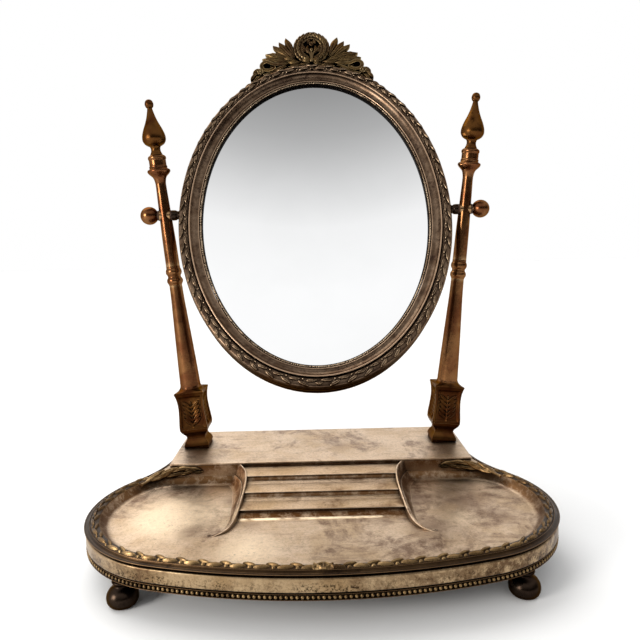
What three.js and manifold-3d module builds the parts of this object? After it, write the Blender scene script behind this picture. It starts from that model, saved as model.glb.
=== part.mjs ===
// Dressing-table swing mirror: an oval framed mirror hung between two turned posts
// on a stepped tray base. Millimetres, +X right, +Y to the back, +Z up.
import * as THREE from 'three';
import { mergeVertices } from 'three/addons/utils/BufferGeometryUtils.js';
import Module from 'manifold-3d';

const wasm = await Module();
wasm.setup();

// Clearances
const GAP = 0.3;
const SHEET = 1.8;
const CUT_MARGIN = 10;

// Base outline: a broad front arc, round ends, and a hollow sweep back to the platform
const FRONT_RADIUS = 479;
const END_RADIUS = 103;
const END_CENTRE = [105.2, 118];
const END_SWEEP = THREE.MathUtils.degToRad(38);
const REAR_RADIUS = 116;
const BASE_DEPTH = 298;

// Base heights
const BEAD_BOTTOM = 24.7;
const BAND_BOTTOM = 30.2;
const BEAD_TOP = BAND_BOTTOM - GAP;
const BAND_TOP = 42.6;
const RIM_BOTTOM = 43.1;
const LEDGE_TOP = 46;
const FLOOR_BOTTOM = 37;
const FLOOR_TOP = 38.6;
const PLATFORM_TOP = 59;

// Platform and steps
const PLATFORM_HALF_WIDTH = 154;
const PLATFORM_FRONT = 186;
const PLATFORM_BACK = 290;
const STEP_HEIGHTS = [55, 49.5, 44];
const STEP_FRONTS = [161, 135, 110];
const STEP_RUN = 2;
const STEP_FOOT = 98;
const STEP_SIDE = [[90, 190], [78, 176], [72, 156], [72, 134], [75, 112], [82, 92]];
const STEP_REACH = 120;

// Tray wells: the inner edge of the rim, and the fillet that turns it along the platform
const WELL_INSET = 12.5;
const WELL_SWEEP = THREE.MathUtils.degToRad(36);
const WELL_FILLET = 36;
const COVE_WIDTH = 9.5;
const BORDER_INSET = 4.7;
const COVE = [[0, LEDGE_TOP], [-3, 42.5], [-6.5, 39.8], [-COVE_WIDTH, FLOOR_TOP]];

// Feet
const FOOT_RADIUS = 12.5;
const FOOT_TOP = FLOOR_BOTTOM - GAP;
const FOOT_BOSS = 5.4;
const FOOT_SCREW_RADIUS = 1.9;
const FOOT_SCREW_HOLE = 2.3;
const FOOT_SCREW_TOP = 43;
const FRONT_FOOT = [158.7, 42.4];
const REAR_FOOT = [140, 274];

// Posts lean outward, so that the finials stand further apart than the sockets
const POST_X = 134.8;
const POST_Y = 245.6;
const POST_LEAN = THREE.MathUtils.degToRad(5.35);
const ROD_RADIUS = 2.5;
const ROD_HOLE = 2.9;
const ROD_CLEARANCE = 3.5;
const ROD_TOP = 212;
const SOCKET_TOP = 66;
const COLLAR_BOTTOM = 179;
const COLLAR_TOP = 199;
const DRUM_TOP = 314.9;

// Mirror: sight edge half axes, tilt at rest, and the height of the pivots
const SIGHT_A = 119;
const SIGHT_B = 168;
const FRAME_WIDTH = 23;
const PIVOT_Z = 310.6;
const REST_TILT = THREE.MathUtils.degToRad(28);
const GLASS_MARGIN = 7;
const GLASS_FRONT = -2.2;
const GLASS_THICK = 3;
const PACKING_THICK = 1.8;
const BOARD_THICK = 2.6;
const BOARD_MARGIN = 20.3;
const BACK_SCREWS = 6;
const BACK_SCREW_RING = 14.6;
const PILLAR_RADIUS = 3.2;
const CREST_SCREW_ANGLE = 0.2;
const OVAL_STEPS = 44;

// Pivot hardware, measured along X from the middle
const PIVOT_SCREW_RADIUS = 2.2;
const PIVOT_HOLE_RADIUS = 2.5;
const BOSS_RADIUS = 5.2;
const BOSS_END = 150.8;
const POST_INNER_FACE = 152.4;
const POST_OUTER_FACE = 164.4;
const KNOB_START = 166;
const KNOB_RADIUS = 9.4;
const KNOB_CENTRE = 175.1;

// ---------------------------------------------------------------- helpers

function clean(geometry) {
  let g = geometry.clone();
  g.deleteAttribute('normal');
  g.deleteAttribute('uv');
  g = mergeVertices(g, 1e-4);
  const index = Array.from(g.index.array);
  const position = g.attributes.position;
  const kept = [];
  let volume = 0;
  const a = new THREE.Vector3();
  const b = new THREE.Vector3();
  const c = new THREE.Vector3();
  for (let i = 0; i < index.length; i += 3) {
    const [p, q, r] = index.slice(i, i + 3);
    if (p === q || q === r || r === p) continue;
    kept.push(p, q, r);
    a.fromBufferAttribute(position, p);
    b.fromBufferAttribute(position, q);
    c.fromBufferAttribute(position, r);
    volume += a.dot(b.cross(c));
  }
  g.setIndex(volume < 0 ? kept.reverse() : kept);
  return g;
}

function solid(geometry) {
  const g = clean(geometry);
  return new wasm.Manifold(new wasm.Mesh({
    numProp: 3,
    vertProperties: new Float32Array(g.attributes.position.array),
    triVerts: new Uint32Array(g.index.array),
  }));
}

function surface(manifold) {
  const mesh = manifold.getMesh();
  const g = new THREE.BufferGeometry();
  g.setAttribute('position', new THREE.BufferAttribute(mesh.vertProperties, 3));
  g.setIndex(Array.from(mesh.triVerts));
  return g;
}

function unite(first, ...others) {
  return others.reduce((sum, other) => sum.add(other), first);
}

function cut(first, ...others) {
  return others.reduce((rest, other) => rest.subtract(other), first);
}

// Carries a closed section [a, b] along stations { at, out, up }: point = at + a·out + b·up
function sweep(stations, section, closed) {
  const n = section.length;
  const points = [];
  for (const { at, out, up } of stations) {
    for (const [a, b] of section) {
      points.push(at.clone().addScaledVector(out, a).addScaledVector(up, b));
    }
  }
  const index = [];
  const spans = closed ? stations.length : stations.length - 1;
  for (let i = 0; i < spans; i += 1) {
    const here = i * n;
    const next = ((i + 1) % stations.length) * n;
    for (let j = 0; j < n; j += 1) {
      const k = (j + 1) % n;
      index.push(here + j, next + j, next + k, here + j, next + k, here + k);
    }
  }
  if (!closed) {
    const outline = section.map(([a, b]) => new THREE.Vector2(a, b));
    const last = (stations.length - 1) * n;
    for (const [p, q, r] of THREE.ShapeUtils.triangulateShape(outline, [])) {
      const forward = THREE.ShapeUtils.isClockWise(outline);
      index.push(...(forward ? [p, r, q] : [p, q, r]));
      index.push(...(forward ? [last + p, last + q, last + r] : [last + p, last + r, last + q]));
    }
  }
  const g = new THREE.BufferGeometry();
  g.setFromPoints(points);
  g.setIndex(index);
  return g;
}

// Turned piece about Z from a closed [radius, z] profile
function turned(profile, segments = 16) {
  const points = [...profile, profile[0]].map(([r, z]) => new THREE.Vector2(r, z));
  return new THREE.LatheGeometry(points, segments).rotateX(Math.PI / 2);
}

function rod(radius, from, to, segments = 12) {
  return turned([[0, from], [radius, from], [radius, to], [0, to]], segments);
}

function prism(points, from, to) {
  const shape = new THREE.Shape(points.map(([x, y]) => new THREE.Vector2(x, y)));
  const g = new THREE.ExtrudeGeometry(shape, { depth: to - from, bevelEnabled: false });
  return g.translate(0, 0, from);
}

function box(x, y, z) {
  const g = new THREE.BoxGeometry(x[1] - x[0], y[1] - y[0], z[1] - z[0]);
  return g.translate((x[0] + x[1]) / 2, (y[0] + y[1]) / 2, (z[0] + z[1]) / 2);
}

const materials = {
  plate: new THREE.MeshStandardMaterial({ color: 0xa8967e, roughness: 0.42, metalness: 0.9 }),
  frame: new THREE.MeshStandardMaterial({ color: 0x7c6c5c, roughness: 0.45, metalness: 0.9 }),
  bronze: new THREE.MeshStandardMaterial({ color: 0x6b3f24, roughness: 0.38, metalness: 0.85 }),
  ornament: new THREE.MeshStandardMaterial({ color: 0x5d4930, roughness: 0.5, metalness: 0.85 }),
  foot: new THREE.MeshStandardMaterial({ color: 0x3a2a1e, roughness: 0.45, metalness: 0.8 }),
  iron: new THREE.MeshStandardMaterial({ color: 0x6a6662, roughness: 0.5, metalness: 0.9 }),
  glass: new THREE.MeshStandardMaterial({ color: 0xe8ecee, roughness: 0.03, metalness: 1 }),
  card: new THREE.MeshStandardMaterial({ color: 0x8a7556, roughness: 0.95, metalness: 0 }),
  board: new THREE.MeshStandardMaterial({ color: 0x5a3b22, roughness: 0.7, metalness: 0 }),
  washer: new THREE.MeshStandardMaterial({ color: 0x4a2f1c, roughness: 0.9, metalness: 0 }),
};

const group = new THREE.Group();

function add(name, geometry, material, parent = group) {
  const mesh = new THREE.Mesh(clean(geometry), material);
  mesh.name = name;
  parent.add(mesh);
  return mesh;
}

const SIDES = [['left', -1], ['right', 1]];

// ---------------------------------------------------------------- base

const UP = new THREE.Vector3(0, 0, 1);

function station(x, y, outX, outY) {
  return { at: new THREE.Vector3(x, y, 0), out: new THREE.Vector3(outX, outY, 0), up: UP };
}

function arc(centre, radius, from, to, steps, facing = 1) {
  return Array.from({ length: steps + 1 }, (_, i) => {
    const t = from + ((to - from) * i) / steps;
    const c = Math.cos(t);
    const s = Math.sin(t);
    return station(centre[0] + radius * c, centre[1] + radius * s, facing * c, facing * s);
  });
}

function mirrored(stations) {
  return stations.map(({ at, out }) => station(-at.x, at.y, -out.x, out.y)).reverse();
}

// The right half of the base outline, from the front middle to the rear corner
function halfOutline() {
  const join = Math.atan2(END_CENTRE[1] - FRONT_RADIUS, END_CENTRE[0]);
  const front = arc([0, FRONT_RADIUS], FRONT_RADIUS, -Math.PI / 2, join, 6);
  const end = arc(END_CENTRE, END_RADIUS, join, END_SWEEP, 12);
  const reach = END_RADIUS + REAR_RADIUS;
  const hollowX = END_CENTRE[0] + reach * Math.cos(END_SWEEP);
  const hollowY = END_CENTRE[1] + reach * Math.sin(END_SWEEP);
  const rear = arc([hollowX, hollowY], REAR_RADIUS, Math.PI + END_SWEEP, Math.PI, 6, -1);
  const side = rear[rear.length - 1].at.x;
  return [...front, ...end.slice(1), ...rear.slice(1), station(side, BASE_DEPTH, 1, 1)];
}

const half = halfOutline();
const outline = [...half, ...mirrored(half).slice(0, -1)];

function offsetOutline(distance) {
  return outline.map(({ at, out }) => [at.x + out.x * distance, at.y + out.y * distance]);
}

// Inner edge of the rim on the right, from the front middle to the platform's front wall
function halfWell(inset) {
  const join = Math.atan2(END_CENTRE[1] - FRONT_RADIUS, END_CENTRE[0]);
  const front = arc([0, FRONT_RADIUS], FRONT_RADIUS - inset, -Math.PI / 2, join, 6);
  const radius = END_RADIUS - inset;
  const end = arc(END_CENTRE, radius, join, WELL_SWEEP, 10);
  const shift = END_RADIUS - WELL_INSET - WELL_FILLET;
  const cornerX = END_CENTRE[0] + shift * Math.cos(WELL_SWEEP);
  const cornerY = END_CENTRE[1] + shift * Math.sin(WELL_SWEEP);
  const turn = arc([cornerX, cornerY], radius - shift, WELL_SWEEP, Math.PI / 2, 5);
  return [...front, ...end.slice(1), ...turn.slice(1)];
}

function wellOutline(inset) {
  const right = halfWell(inset);
  return [...right, ...mirrored(right).slice(0, -1)].map(({ at }) => [at.x, at.y]);
}

// The dished space of the tray: a stack of shrinking outlines down the cove
function wellSpace() {
  const levels = [[0, PLATFORM_TOP + CUT_MARGIN], ...COVE];
  const rings = levels.map(([offset, z]) =>
    wellOutline(WELL_INSET - offset).map(([x, y]) => [x, y, z]));
  const n = rings[0].length;
  const points = rings.flat().map(([x, y, z]) => new THREE.Vector3(x, y, z));
  const index = [];
  for (let i = 0; i + 1 < rings.length; i += 1) {
    for (let j = 0; j < n; j += 1) {
      const k = (j + 1) % n;
      const here = i * n;
      const next = here + n;
      index.push(here + j, here + k, next + k, here + j, next + k, next + j);
    }
  }
  const contour = rings[0].map(([x, y]) => new THREE.Vector2(x, y));
  const last = (rings.length - 1) * n;
  for (const [p, q, r] of THREE.ShapeUtils.triangulateShape(contour, [])) {
    index.push(p, r, q);
    index.push(last + p, last + q, last + r);
  }
  const g = new THREE.BufferGeometry();
  g.setFromPoints(points);
  g.setIndex(index);
  return g;
}

// Steps in the middle: a stair profile in Y and Z, kept between two curved sides in plan
function stairs(drop, inset) {
  const profile = [[PLATFORM_FRONT + 1, FLOOR_BOTTOM - 1], [PLATFORM_FRONT + 1, STEP_HEIGHTS[0] - drop]];
  STEP_HEIGHTS.forEach((height, i) => {
    profile.push([STEP_FRONTS[i] + drop, height - drop]);
    const next = STEP_HEIGHTS[i + 1] ?? FLOOR_TOP;
    const foot = i + 1 < STEP_HEIGHTS.length ? STEP_FRONTS[i] - STEP_RUN : STEP_FOOT;
    profile.push([foot + drop, next - drop]);
  });
  profile.push([STEP_FOOT + drop, FLOOR_BOTTOM - 1]);
  const turn = new THREE.Matrix4().makeBasis(
    new THREE.Vector3(0, 1, 0), new THREE.Vector3(0, 0, 1), new THREE.Vector3(1, 0, 0));
  const slab = prism(profile, -STEP_REACH, STEP_REACH).applyMatrix4(turn);
  const curve = new THREE.SplineCurve(STEP_SIDE.map(([x, y]) => new THREE.Vector2(x - inset, y)));
  const side = curve.getPoints(12).map(({ x, y }) => [x, y]);
  const plan = [...side, ...side.map(([x, y]) => [-x, y]).reverse()];
  return solid(slab).intersect(solid(prism(plan, FLOOR_BOTTOM - 2, PLATFORM_TOP)));
}

// The base is four sheets soldered together: the floor, the border with its cove, the
// platform and the steps
const floorPlate = prism(wellOutline(WELL_INSET + COVE_WIDTH + GAP), FLOOR_BOTTOM, FLOOR_TOP);

function platformBlock(grow) {
  const width = PLATFORM_HALF_WIDTH + grow;
  const depth = [PLATFORM_FRONT - grow, PLATFORM_BACK + grow];
  return solid(box([-width, width], depth, [FLOOR_BOTTOM - grow, PLATFORM_TOP]));
}

const platformSpace = platformBlock(GAP);

// One upright rod at a place on each side
function pair([x, y], radius, from, to) {
  return SIDES.map(([, side]) => solid(rod(radius, from, to).translate(side * x, y, 0)));
}

const footHoles = [FRONT_FOOT, REAR_FOOT].flatMap((place) =>
  pair(place, FOOT_SCREW_HOLE, 0, FOOT_SCREW_TOP + GAP));

function border() {
  const slab = solid(prism(offsetOutline(-BORDER_INSET), FLOOR_BOTTOM, LEDGE_TOP));
  const floorEdge = wellOutline(WELL_INSET + COVE_WIDTH);
  const floorSpace = solid(prism(floorEdge, FLOOR_BOTTOM - 1, FLOOR_TOP + 1));
  const rimSpace = solid(prism(offsetOutline(-BORDER_INSET - SHEET), 0, RIM_BOTTOM - GAP));
  const coveWall = solid(prism(wellOutline(WELL_INSET - SHEET), -1, PLATFORM_TOP));
  const ring = cut(slab, solid(wellSpace()), floorSpace, cut(rimSpace, coveWall));
  const bosses = pair(FRONT_FOOT, FOOT_BOSS, FLOOR_BOTTOM, LEDGE_TOP - 1);
  return surface(cut(unite(ring, ...bosses), platformSpace, stairs(-GAP, -GAP), ...footHoles));
}

function platform() {
  const inside = PLATFORM_HALF_WIDTH - SHEET;
  const depth = [PLATFORM_FRONT + SHEET, PLATFORM_BACK - SHEET];
  const hollow = solid(box([-inside, inside], depth, [0, PLATFORM_TOP - SHEET]));
  const rodHoles = pair([POST_X, POST_Y], ROD_CLEARANCE, PLATFORM_TOP - CUT_MARGIN, PLATFORM_TOP + 1);
  const bosses = pair(REAR_FOOT, FOOT_BOSS, FLOOR_BOTTOM, PLATFORM_TOP - 1);
  const shell = unite(cut(platformBlock(0), hollow), ...bosses);
  return surface(cut(shell, ...footHoles, ...rodHoles));
}

function steps() {
  const depth = [0, PLATFORM_FRONT + CUT_MARGIN];
  const below = solid(box([-STEP_REACH, STEP_REACH], depth, [0, FLOOR_TOP + GAP]));
  return surface(cut(stairs(0, 0), stairs(SHEET, SHEET), platformSpace, below));
}

add('floor_plate', floorPlate, materials.plate);
add('tray_border', border(), materials.plate);
add('platform', platform(), materials.plate);
add('steps', steps(), materials.plate);

const RIM_SECTION = [
  [-4.4, 46.7], [-3.7, 45.5], [-2.2, 44.6], [0, 44.2], [0, RIM_BOTTOM], [-4.4, RIM_BOTTOM],
];
add('rim_moulding', sweep(outline, RIM_SECTION, true), materials.plate);

const BAND_SECTION = [
  [-0.8, BAND_BOTTOM], [-0.8, BAND_TOP], [-4.4, BAND_TOP], [-4.4, BAND_TOP - 1.2],
  [-2.3, BAND_TOP - 1.2], [-2.3, BAND_BOTTOM],
];
add('side_band', sweep(outline, BAND_SECTION, true), materials.plate);

const BEAD_SECTION = [
  [-3.2, BEAD_BOTTOM], [-0.5, BEAD_BOTTOM], [0, (BEAD_BOTTOM + BEAD_TOP) / 2],
  [-0.5, BEAD_TOP], [-3.2, BEAD_TOP],
];
add('bead_border', sweep(outline, BEAD_SECTION, true), materials.plate);

// Leaf band on the rim, and the long leaf that ends it on each shoulder
const leafHalf = halfWell(WELL_INSET).slice(0, -2);
const leafPath = [...mirrored(leafHalf).slice(0, -1), ...leafHalf];
const LEAF_BOTTOM = LEDGE_TOP + GAP;
const LEAF_SECTION = [
  [-0.2, LEAF_BOTTOM], [0.4, 48.2], [2.4, 49.4], [4.8, 49.4], [6.8, 48.4], [7.6, LEAF_BOTTOM],
];
add('rim_leaf_band', sweep(leafPath, LEAF_SECTION, false), materials.plate);

const SHOULDER_LEAF_THICK = 3.2;
const leafEnd = leafHalf[leafHalf.length - 1].at;
for (const [name, side] of SIDES) {
  const start = leafEnd.x - 2;
  const ridge = [[start, 54.5], [start - 12, 57.6], [start - 26, 56.4], [start - 40, 49.4]];
  const curve = new THREE.SplineCurve(ridge.map(([x, z]) => new THREE.Vector2(side * x, z)));
  const top = curve.getPoints(8).map(({ x, y }) => [x, y]);
  const leaf = prism([[side * start, 49.8], ...top], 0, SHOULDER_LEAF_THICK).rotateX(Math.PI / 2);
  add(`shoulder_leaf_${name}`, leaf.translate(0, PLATFORM_FRONT - GAP, 0), materials.plate);
}

const FOOT_PROFILE = [
  [4.8, 0], [8, 0], [11.4, 2.6], [FOOT_RADIUS, 7], [11, 12], [6, 17], [6.6, 21],
  [6.6, FOOT_TOP], [2.4, FOOT_TOP], [2.4, 4.6], [4.8, 4.6],
];
for (const [name, side] of SIDES) {
  for (const [end, [x, y]] of [['front', FRONT_FOOT], ['rear', REAR_FOOT]]) {
    add(`foot_${end}_${name}`, turned(FOOT_PROFILE).translate(side * x, y, 0), materials.foot);
    const screw = turned([
      [0, 1.4], [4, 1.4], [4, 4.2], [FOOT_SCREW_RADIUS, 4.2],
      [FOOT_SCREW_RADIUS, FOOT_SCREW_TOP], [0, FOOT_SCREW_TOP],
    ], 12);
    add(`foot_screw_${end}_${name}`, screw.translate(side * x, y, 0), materials.iron);
  }
}

// ---------------------------------------------------------------- posts

// A square turned piece: [half width, height] pairs on four sides
function squared(profile) {
  return turned(profile.map(([r, z]) => [r * Math.SQRT2, z]), 4).rotateZ(Math.PI / 4);
}

const SOCKET = [
  [0, -4], [13.2, -4], [13.2, 4.5], [12.2, 7], [10.2, 9.5], [10.2, 14], [13.4, 19], [14.9, 24], [14.6, 32],
  [13.6, 46], [14.4, 56], [15.8, 61.5], [15.2, 63.5], [11.6, SOCKET_TOP], [0, SOCKET_TOP],
];
const LOWER_SHAFT = [
  [ROD_HOLE, SOCKET_TOP + GAP], [11.2, SOCKET_TOP + GAP], [10.9, 72], [10.1, 92], [8.4, 132], [7.1, 161],
  [6.7, COLLAR_BOTTOM - GAP], [ROD_HOLE, COLLAR_BOTTOM - GAP],
];
const COLLAR = [
  [ROD_HOLE, COLLAR_BOTTOM], [6.9, COLLAR_BOTTOM], [8.1, 182], [8.1, 185], [6.9, 188],
  [8.1, 191], [8.1, 195], [7.2, COLLAR_TOP], [ROD_HOLE, COLLAR_TOP],
];
const UPPER_SHAFT = [
  [ROD_HOLE, COLLAR_TOP + GAP], [7.2, COLLAR_TOP + GAP], [6.9, 227], [6.3, 250], [5.4, 283],
  [6.6, 291.5], [11.6, 297.8], [11.6, 299.4], [8.8, 303], [8.8, DRUM_TOP],
  [2.6, DRUM_TOP], [2.6, DRUM_TOP - 9], [0, DRUM_TOP - 9], [0, ROD_TOP + 1], [ROD_HOLE, ROD_TOP + 1],
];
const FINIAL = [
  [0, DRUM_TOP - 8.5], [2.3, DRUM_TOP - 8.5], [2.3, DRUM_TOP + GAP], [6.4, DRUM_TOP + GAP], [4.8, 321],
  [5.2, 324], [8.2, 326], [11.9, 330.6], [11.7, 335], [8.9, 342.5], [4.9, 353], [2.9, 362.6],
  [4.3, 366], [3.7, 369.4], [0, 371.4],
];

for (const [name, side] of SIDES) {
  const post = new THREE.Group();
  post.position.set(side * POST_X, POST_Y, PLATFORM_TOP);
  post.rotation.y = side * POST_LEAN;
  post.updateMatrixWorld();
  group.add(post);

  // The socket's foot is trimmed level, so that the leaning post stands flat on the platform
  const ground = solid(box([-30, 30], [-30, 30], [-30, 0]).rotateY(-side * POST_LEAN)
    .translate(0, 0, GAP));
  const socket = cut(solid(squared(SOCKET)), solid(rod(ROD_HOLE, -10, SOCKET_TOP + 1)), ground);
  add(`post_socket_${name}`, surface(socket), materials.bronze, post);
  add(`post_lower_${name}`, turned(LOWER_SHAFT), materials.bronze, post);
  add(`post_collar_${name}`, turned(COLLAR), materials.bronze, post);

  // Cross hole and two flat seats for the pivot
  const toPost = new THREE.Matrix4().copy(post.matrixWorld).invert();
  const across = (radius, from, to) => solid(rod(radius, from, to).rotateY(side * Math.PI / 2)
    .translate(0, POST_Y, PIVOT_Z).applyMatrix4(toPost));
  const shaft = cut(solid(turned(UPPER_SHAFT)), across(PIVOT_HOLE_RADIUS, 130, 190),
    across(6.2, 130, POST_INNER_FACE), across(6.2, POST_OUTER_FACE, 190));
  add(`post_upper_${name}`, surface(shaft), materials.bronze, post);
  add(`post_finial_${name}`, turned(FINIAL), materials.bronze, post);
  add(`post_rod_${name}`, rod(ROD_RADIUS, -9.5, ROD_TOP), materials.iron, post);
  const nut = turned([[ROD_HOLE, -8.6], [5.4, -8.6], [5.4, -4.4], [ROD_HOLE, -4.4]], 6);
  add(`post_nut_${name}`, nut, materials.iron, post);
  const washer = turned([[3.4, -3.6], [7.5, -3.6], [7.5, -SHEET - GAP], [3.4, -SHEET - GAP]], 12);
  add(`post_washer_${name}`, washer.translate(side * POST_X, POST_Y, PLATFORM_TOP), materials.iron);
}

// ---------------------------------------------------------------- mirror

const mirror = new THREE.Group();
mirror.position.set(0, POST_Y, PIVOT_Z);
mirror.rotation.x = -REST_TILT;
group.add(mirror);

const FORWARD = new THREE.Vector3(0, -1, 0);
const BACKWARD = new THREE.Vector3(0, 1, 0);

function ovalStation(angle) {
  const x = SIGHT_A * Math.sin(angle);
  const z = SIGHT_B * Math.cos(angle);
  const out = new THREE.Vector3(SIGHT_B * Math.sin(angle), 0, SIGHT_A * Math.cos(angle)).normalize();
  return { at: new THREE.Vector3(x, 0, z), out, up: FORWARD };
}

function ovalStations(steps, from = 0, to = 2 * Math.PI) {
  return Array.from({ length: steps }, (_, i) => ovalStation(from + ((to - from) * i) / steps));
}

function ovalPoint(angle, offset) {
  const { at, out } = ovalStation(angle);
  return at.clone().addScaledVector(out, offset);
}

// A flat oval sheet, front and back given as distances in front of the mirror plane
function ovalSheet(margin, front, back, steps = OVAL_STEPS) {
  const points = ovalStations(steps).map(({ at, out }) => [at.x + out.x * margin, at.z + out.z * margin]);
  return prism(points, -front, -back).rotateX(Math.PI / 2).scale(1, -1, 1);
}

// A pin that stands square to the mirror plane or along a direction, placed in the mirror
function pinAt(geometry, point, direction) {
  const turn = new THREE.Quaternion().setFromUnitVectors(UP, direction);
  return geometry.applyQuaternion(turn).translate(point.x, point.y, point.z);
}

const FRAME_SECTION = [
  [3.3, 4.4], [7, 3.5], [13.2, 7.2], [14, 6.2], [17, 9.3], [20.5, 9.3], [FRAME_WIDTH, 6.4],
  [FRAME_WIDTH, -10.8], [23.7, -11.5], [23.7, -15.8], [20.8, -15.8], [20.8, 4.8], [18.5, 6.8],
  [14, 3.8], [8, 1.2], [5.2, -1.9], [3.3, -1.9],
];
const backScrewAngles = Array.from({ length: BACK_SCREWS }, (_, i) =>
  ((i + 0.5) * 2 * Math.PI) / BACK_SCREWS);
const PACKING_FRONT = GLASS_FRONT - GLASS_THICK - GAP;
const BOARD_FRONT = PACKING_FRONT - PACKING_THICK - GAP;
const BOARD_BACK = BOARD_FRONT - BOARD_THICK;

function frameRing() {
  const pillars = [];
  const holes = [];
  for (const angle of backScrewAngles) {
    const foot = ovalPoint(angle, BACK_SCREW_RING);
    pillars.push(solid(pinAt(rod(PILLAR_RADIUS, -5.2, -BOARD_FRONT - GAP), foot, BACKWARD)));
    holes.push(solid(pinAt(rod(1.4, 0, 12, 10), foot, BACKWARD)));
  }
  for (const [, side] of SIDES) {
    holes.push(solid(rod(3.8, SIGHT_A + 18, SIGHT_A + 28).rotateY(side * Math.PI / 2)));
    const { at, out } = ovalStation(side * CREST_SCREW_ANGLE);
    holes.push(solid(pinAt(rod(1.8, 19.4, 28, 10), at, out)));
  }
  const ring = solid(sweep(ovalStations(OVAL_STEPS), FRAME_SECTION, true));
  return surface(cut(unite(ring, ...pillars), ...holes));
}

add('mirror_frame', frameRing(), materials.frame, mirror);

const BEZEL_SECTION = [[0, -1.9], [0, 4.2], [1.5, 5.2], [3, 4], [3, -1.9]];
add('sight_bezel', sweep(ovalStations(OVAL_STEPS), BEZEL_SECTION, true), materials.frame, mirror);
const glass = ovalSheet(GLASS_MARGIN, GLASS_FRONT, GLASS_FRONT - GLASS_THICK);
add('mirror_glass', glass, materials.glass, mirror);
const packing = ovalSheet(GLASS_MARGIN, PACKING_FRONT, PACKING_FRONT - PACKING_THICK);
add('glass_packing', packing, materials.card, mirror);

const boardHoles = backScrewAngles.map((angle) =>
  solid(pinAt(rod(1.7, 0, 20, 10), ovalPoint(angle, BACK_SCREW_RING), BACKWARD)));
const board = cut(solid(ovalSheet(BOARD_MARGIN, BOARD_FRONT, BOARD_BACK)), ...boardHoles);
add('back_board', surface(board), materials.board, mirror);

backScrewAngles.forEach((angle, i) => {
  const head = -BOARD_BACK + GAP;
  const profile = [
    [0, 5], [1.1, 5], [1.1, head], [3, head], [2.6, head + 1.2], [1.2, head + 1.9], [0, head + 1.9],
  ];
  const screw = pinAt(turned(profile, 12), ovalPoint(angle, BACK_SCREW_RING), BACKWARD);
  add(`back_screw_${i + 1}`, screw, materials.iron, mirror);
});

// Crest: a wreath between leaf sprays, standing on the top of the frame
const CREST_BACK = -2.6;
const CREST_FRONT = 3.4;
const CREST_SPAN = 0.56;
const CREST_HALF = [
  [74, 169], [68, 179], [59, 187], [60, 195], [47, 205], [45, 218], [33, 222], [34, 232], [24, 230],
  [21, 219], [17, 234], [10, 241], [0, 243],
];

function crest() {
  const seat = Array.from({ length: 17 }, (_, i) => {
    const point = ovalPoint(CREST_SPAN * (1 - i / 8), FRAME_WIDTH + 0.5);
    return [point.x, point.z];
  });
  const left = CREST_HALF.slice(0, -1).map(([x, z]) => [-x, z]);
  const contour = [...seat, ...left, ...[...CREST_HALF].reverse()];
  const plate = solid(prism(contour, -CREST_FRONT, -CREST_BACK).rotateX(Math.PI / 2).scale(1, -1, 1));
  const pilots = SIDES.map(([, side]) => {
    const { at, out } = ovalStation(side * CREST_SCREW_ANGLE);
    return solid(pinAt(rod(1.8, 20, 31, 10), at, out));
  });
  return surface(cut(plate, ...pilots));
}

add('crest_ornament', crest(), materials.ornament, mirror);
for (const [name, side] of SIDES) {
  const { at, out } = ovalStation(side * CREST_SCREW_ANGLE);
  const screw = turned([[0, 17.4], [2.8, 17.4], [2.8, 19.8], [1.4, 19.8], [1.4, 30.4], [0, 30.4]], 12);
  add(`crest_screw_${name}`, pinAt(screw, at, out), materials.iron, mirror);
}

// ---------------------------------------------------------------- pivots

for (const [name, side] of SIDES) {
  const lay = (geometry) => geometry.rotateY(side * Math.PI / 2);
  const wall = SIGHT_A + FRAME_WIDTH;
  const boss = [
    [0, wall - 4], [3.5, wall - 4], [3.5, wall + 0.4], [BOSS_RADIUS, wall + 0.4], [BOSS_RADIUS, BOSS_END],
    [PIVOT_HOLE_RADIUS, BOSS_END], [PIVOT_HOLE_RADIUS, wall - 1], [0, wall - 1],
  ];
  add(`pivot_boss_${name}`, lay(turned(boss)), materials.bronze, mirror);

  const disc = (from) => lay(turned([[2.7, from], [5.4, from], [5.4, from + 1], [2.7, from + 1]], 12));
  add(`inner_washer_${name}`, disc(BOSS_END + GAP).translate(0, POST_Y, PIVOT_Z), materials.washer);
  add(`outer_washer_${name}`, disc(POST_OUTER_FACE + GAP).translate(0, POST_Y, PIVOT_Z), materials.washer);

  const screw = lay(rod(PIVOT_SCREW_RADIUS, wall - 0.4, KNOB_START + 7));
  add(`pivot_screw_${name}`, screw.translate(0, POST_Y, PIVOT_Z), materials.iron);
  const ball = Array.from({ length: 8 }, (_, i) => {
    const t = THREE.MathUtils.degToRad(148 - (148 * i) / 7);
    return [KNOB_RADIUS * Math.sin(t), KNOB_CENTRE + KNOB_RADIUS * Math.cos(t)];
  });
  const knob = [
    [PIVOT_HOLE_RADIUS, KNOB_START], [4.8, KNOB_START], ...ball,
    [0, KNOB_START + 7.5], [PIVOT_HOLE_RADIUS, KNOB_START + 7.5],
  ];
  add(`pivot_knob_${name}`, lay(turned(knob)).translate(0, POST_Y, PIVOT_Z), materials.bronze);
}

// The origin is the middle of the object's footprint box, at the bottom of the feet
const extent = new THREE.Box3().setFromObject(group, true);
group.position.y = -(extent.min.y + extent.max.y) / 2;

export default group;
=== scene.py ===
import math

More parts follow.
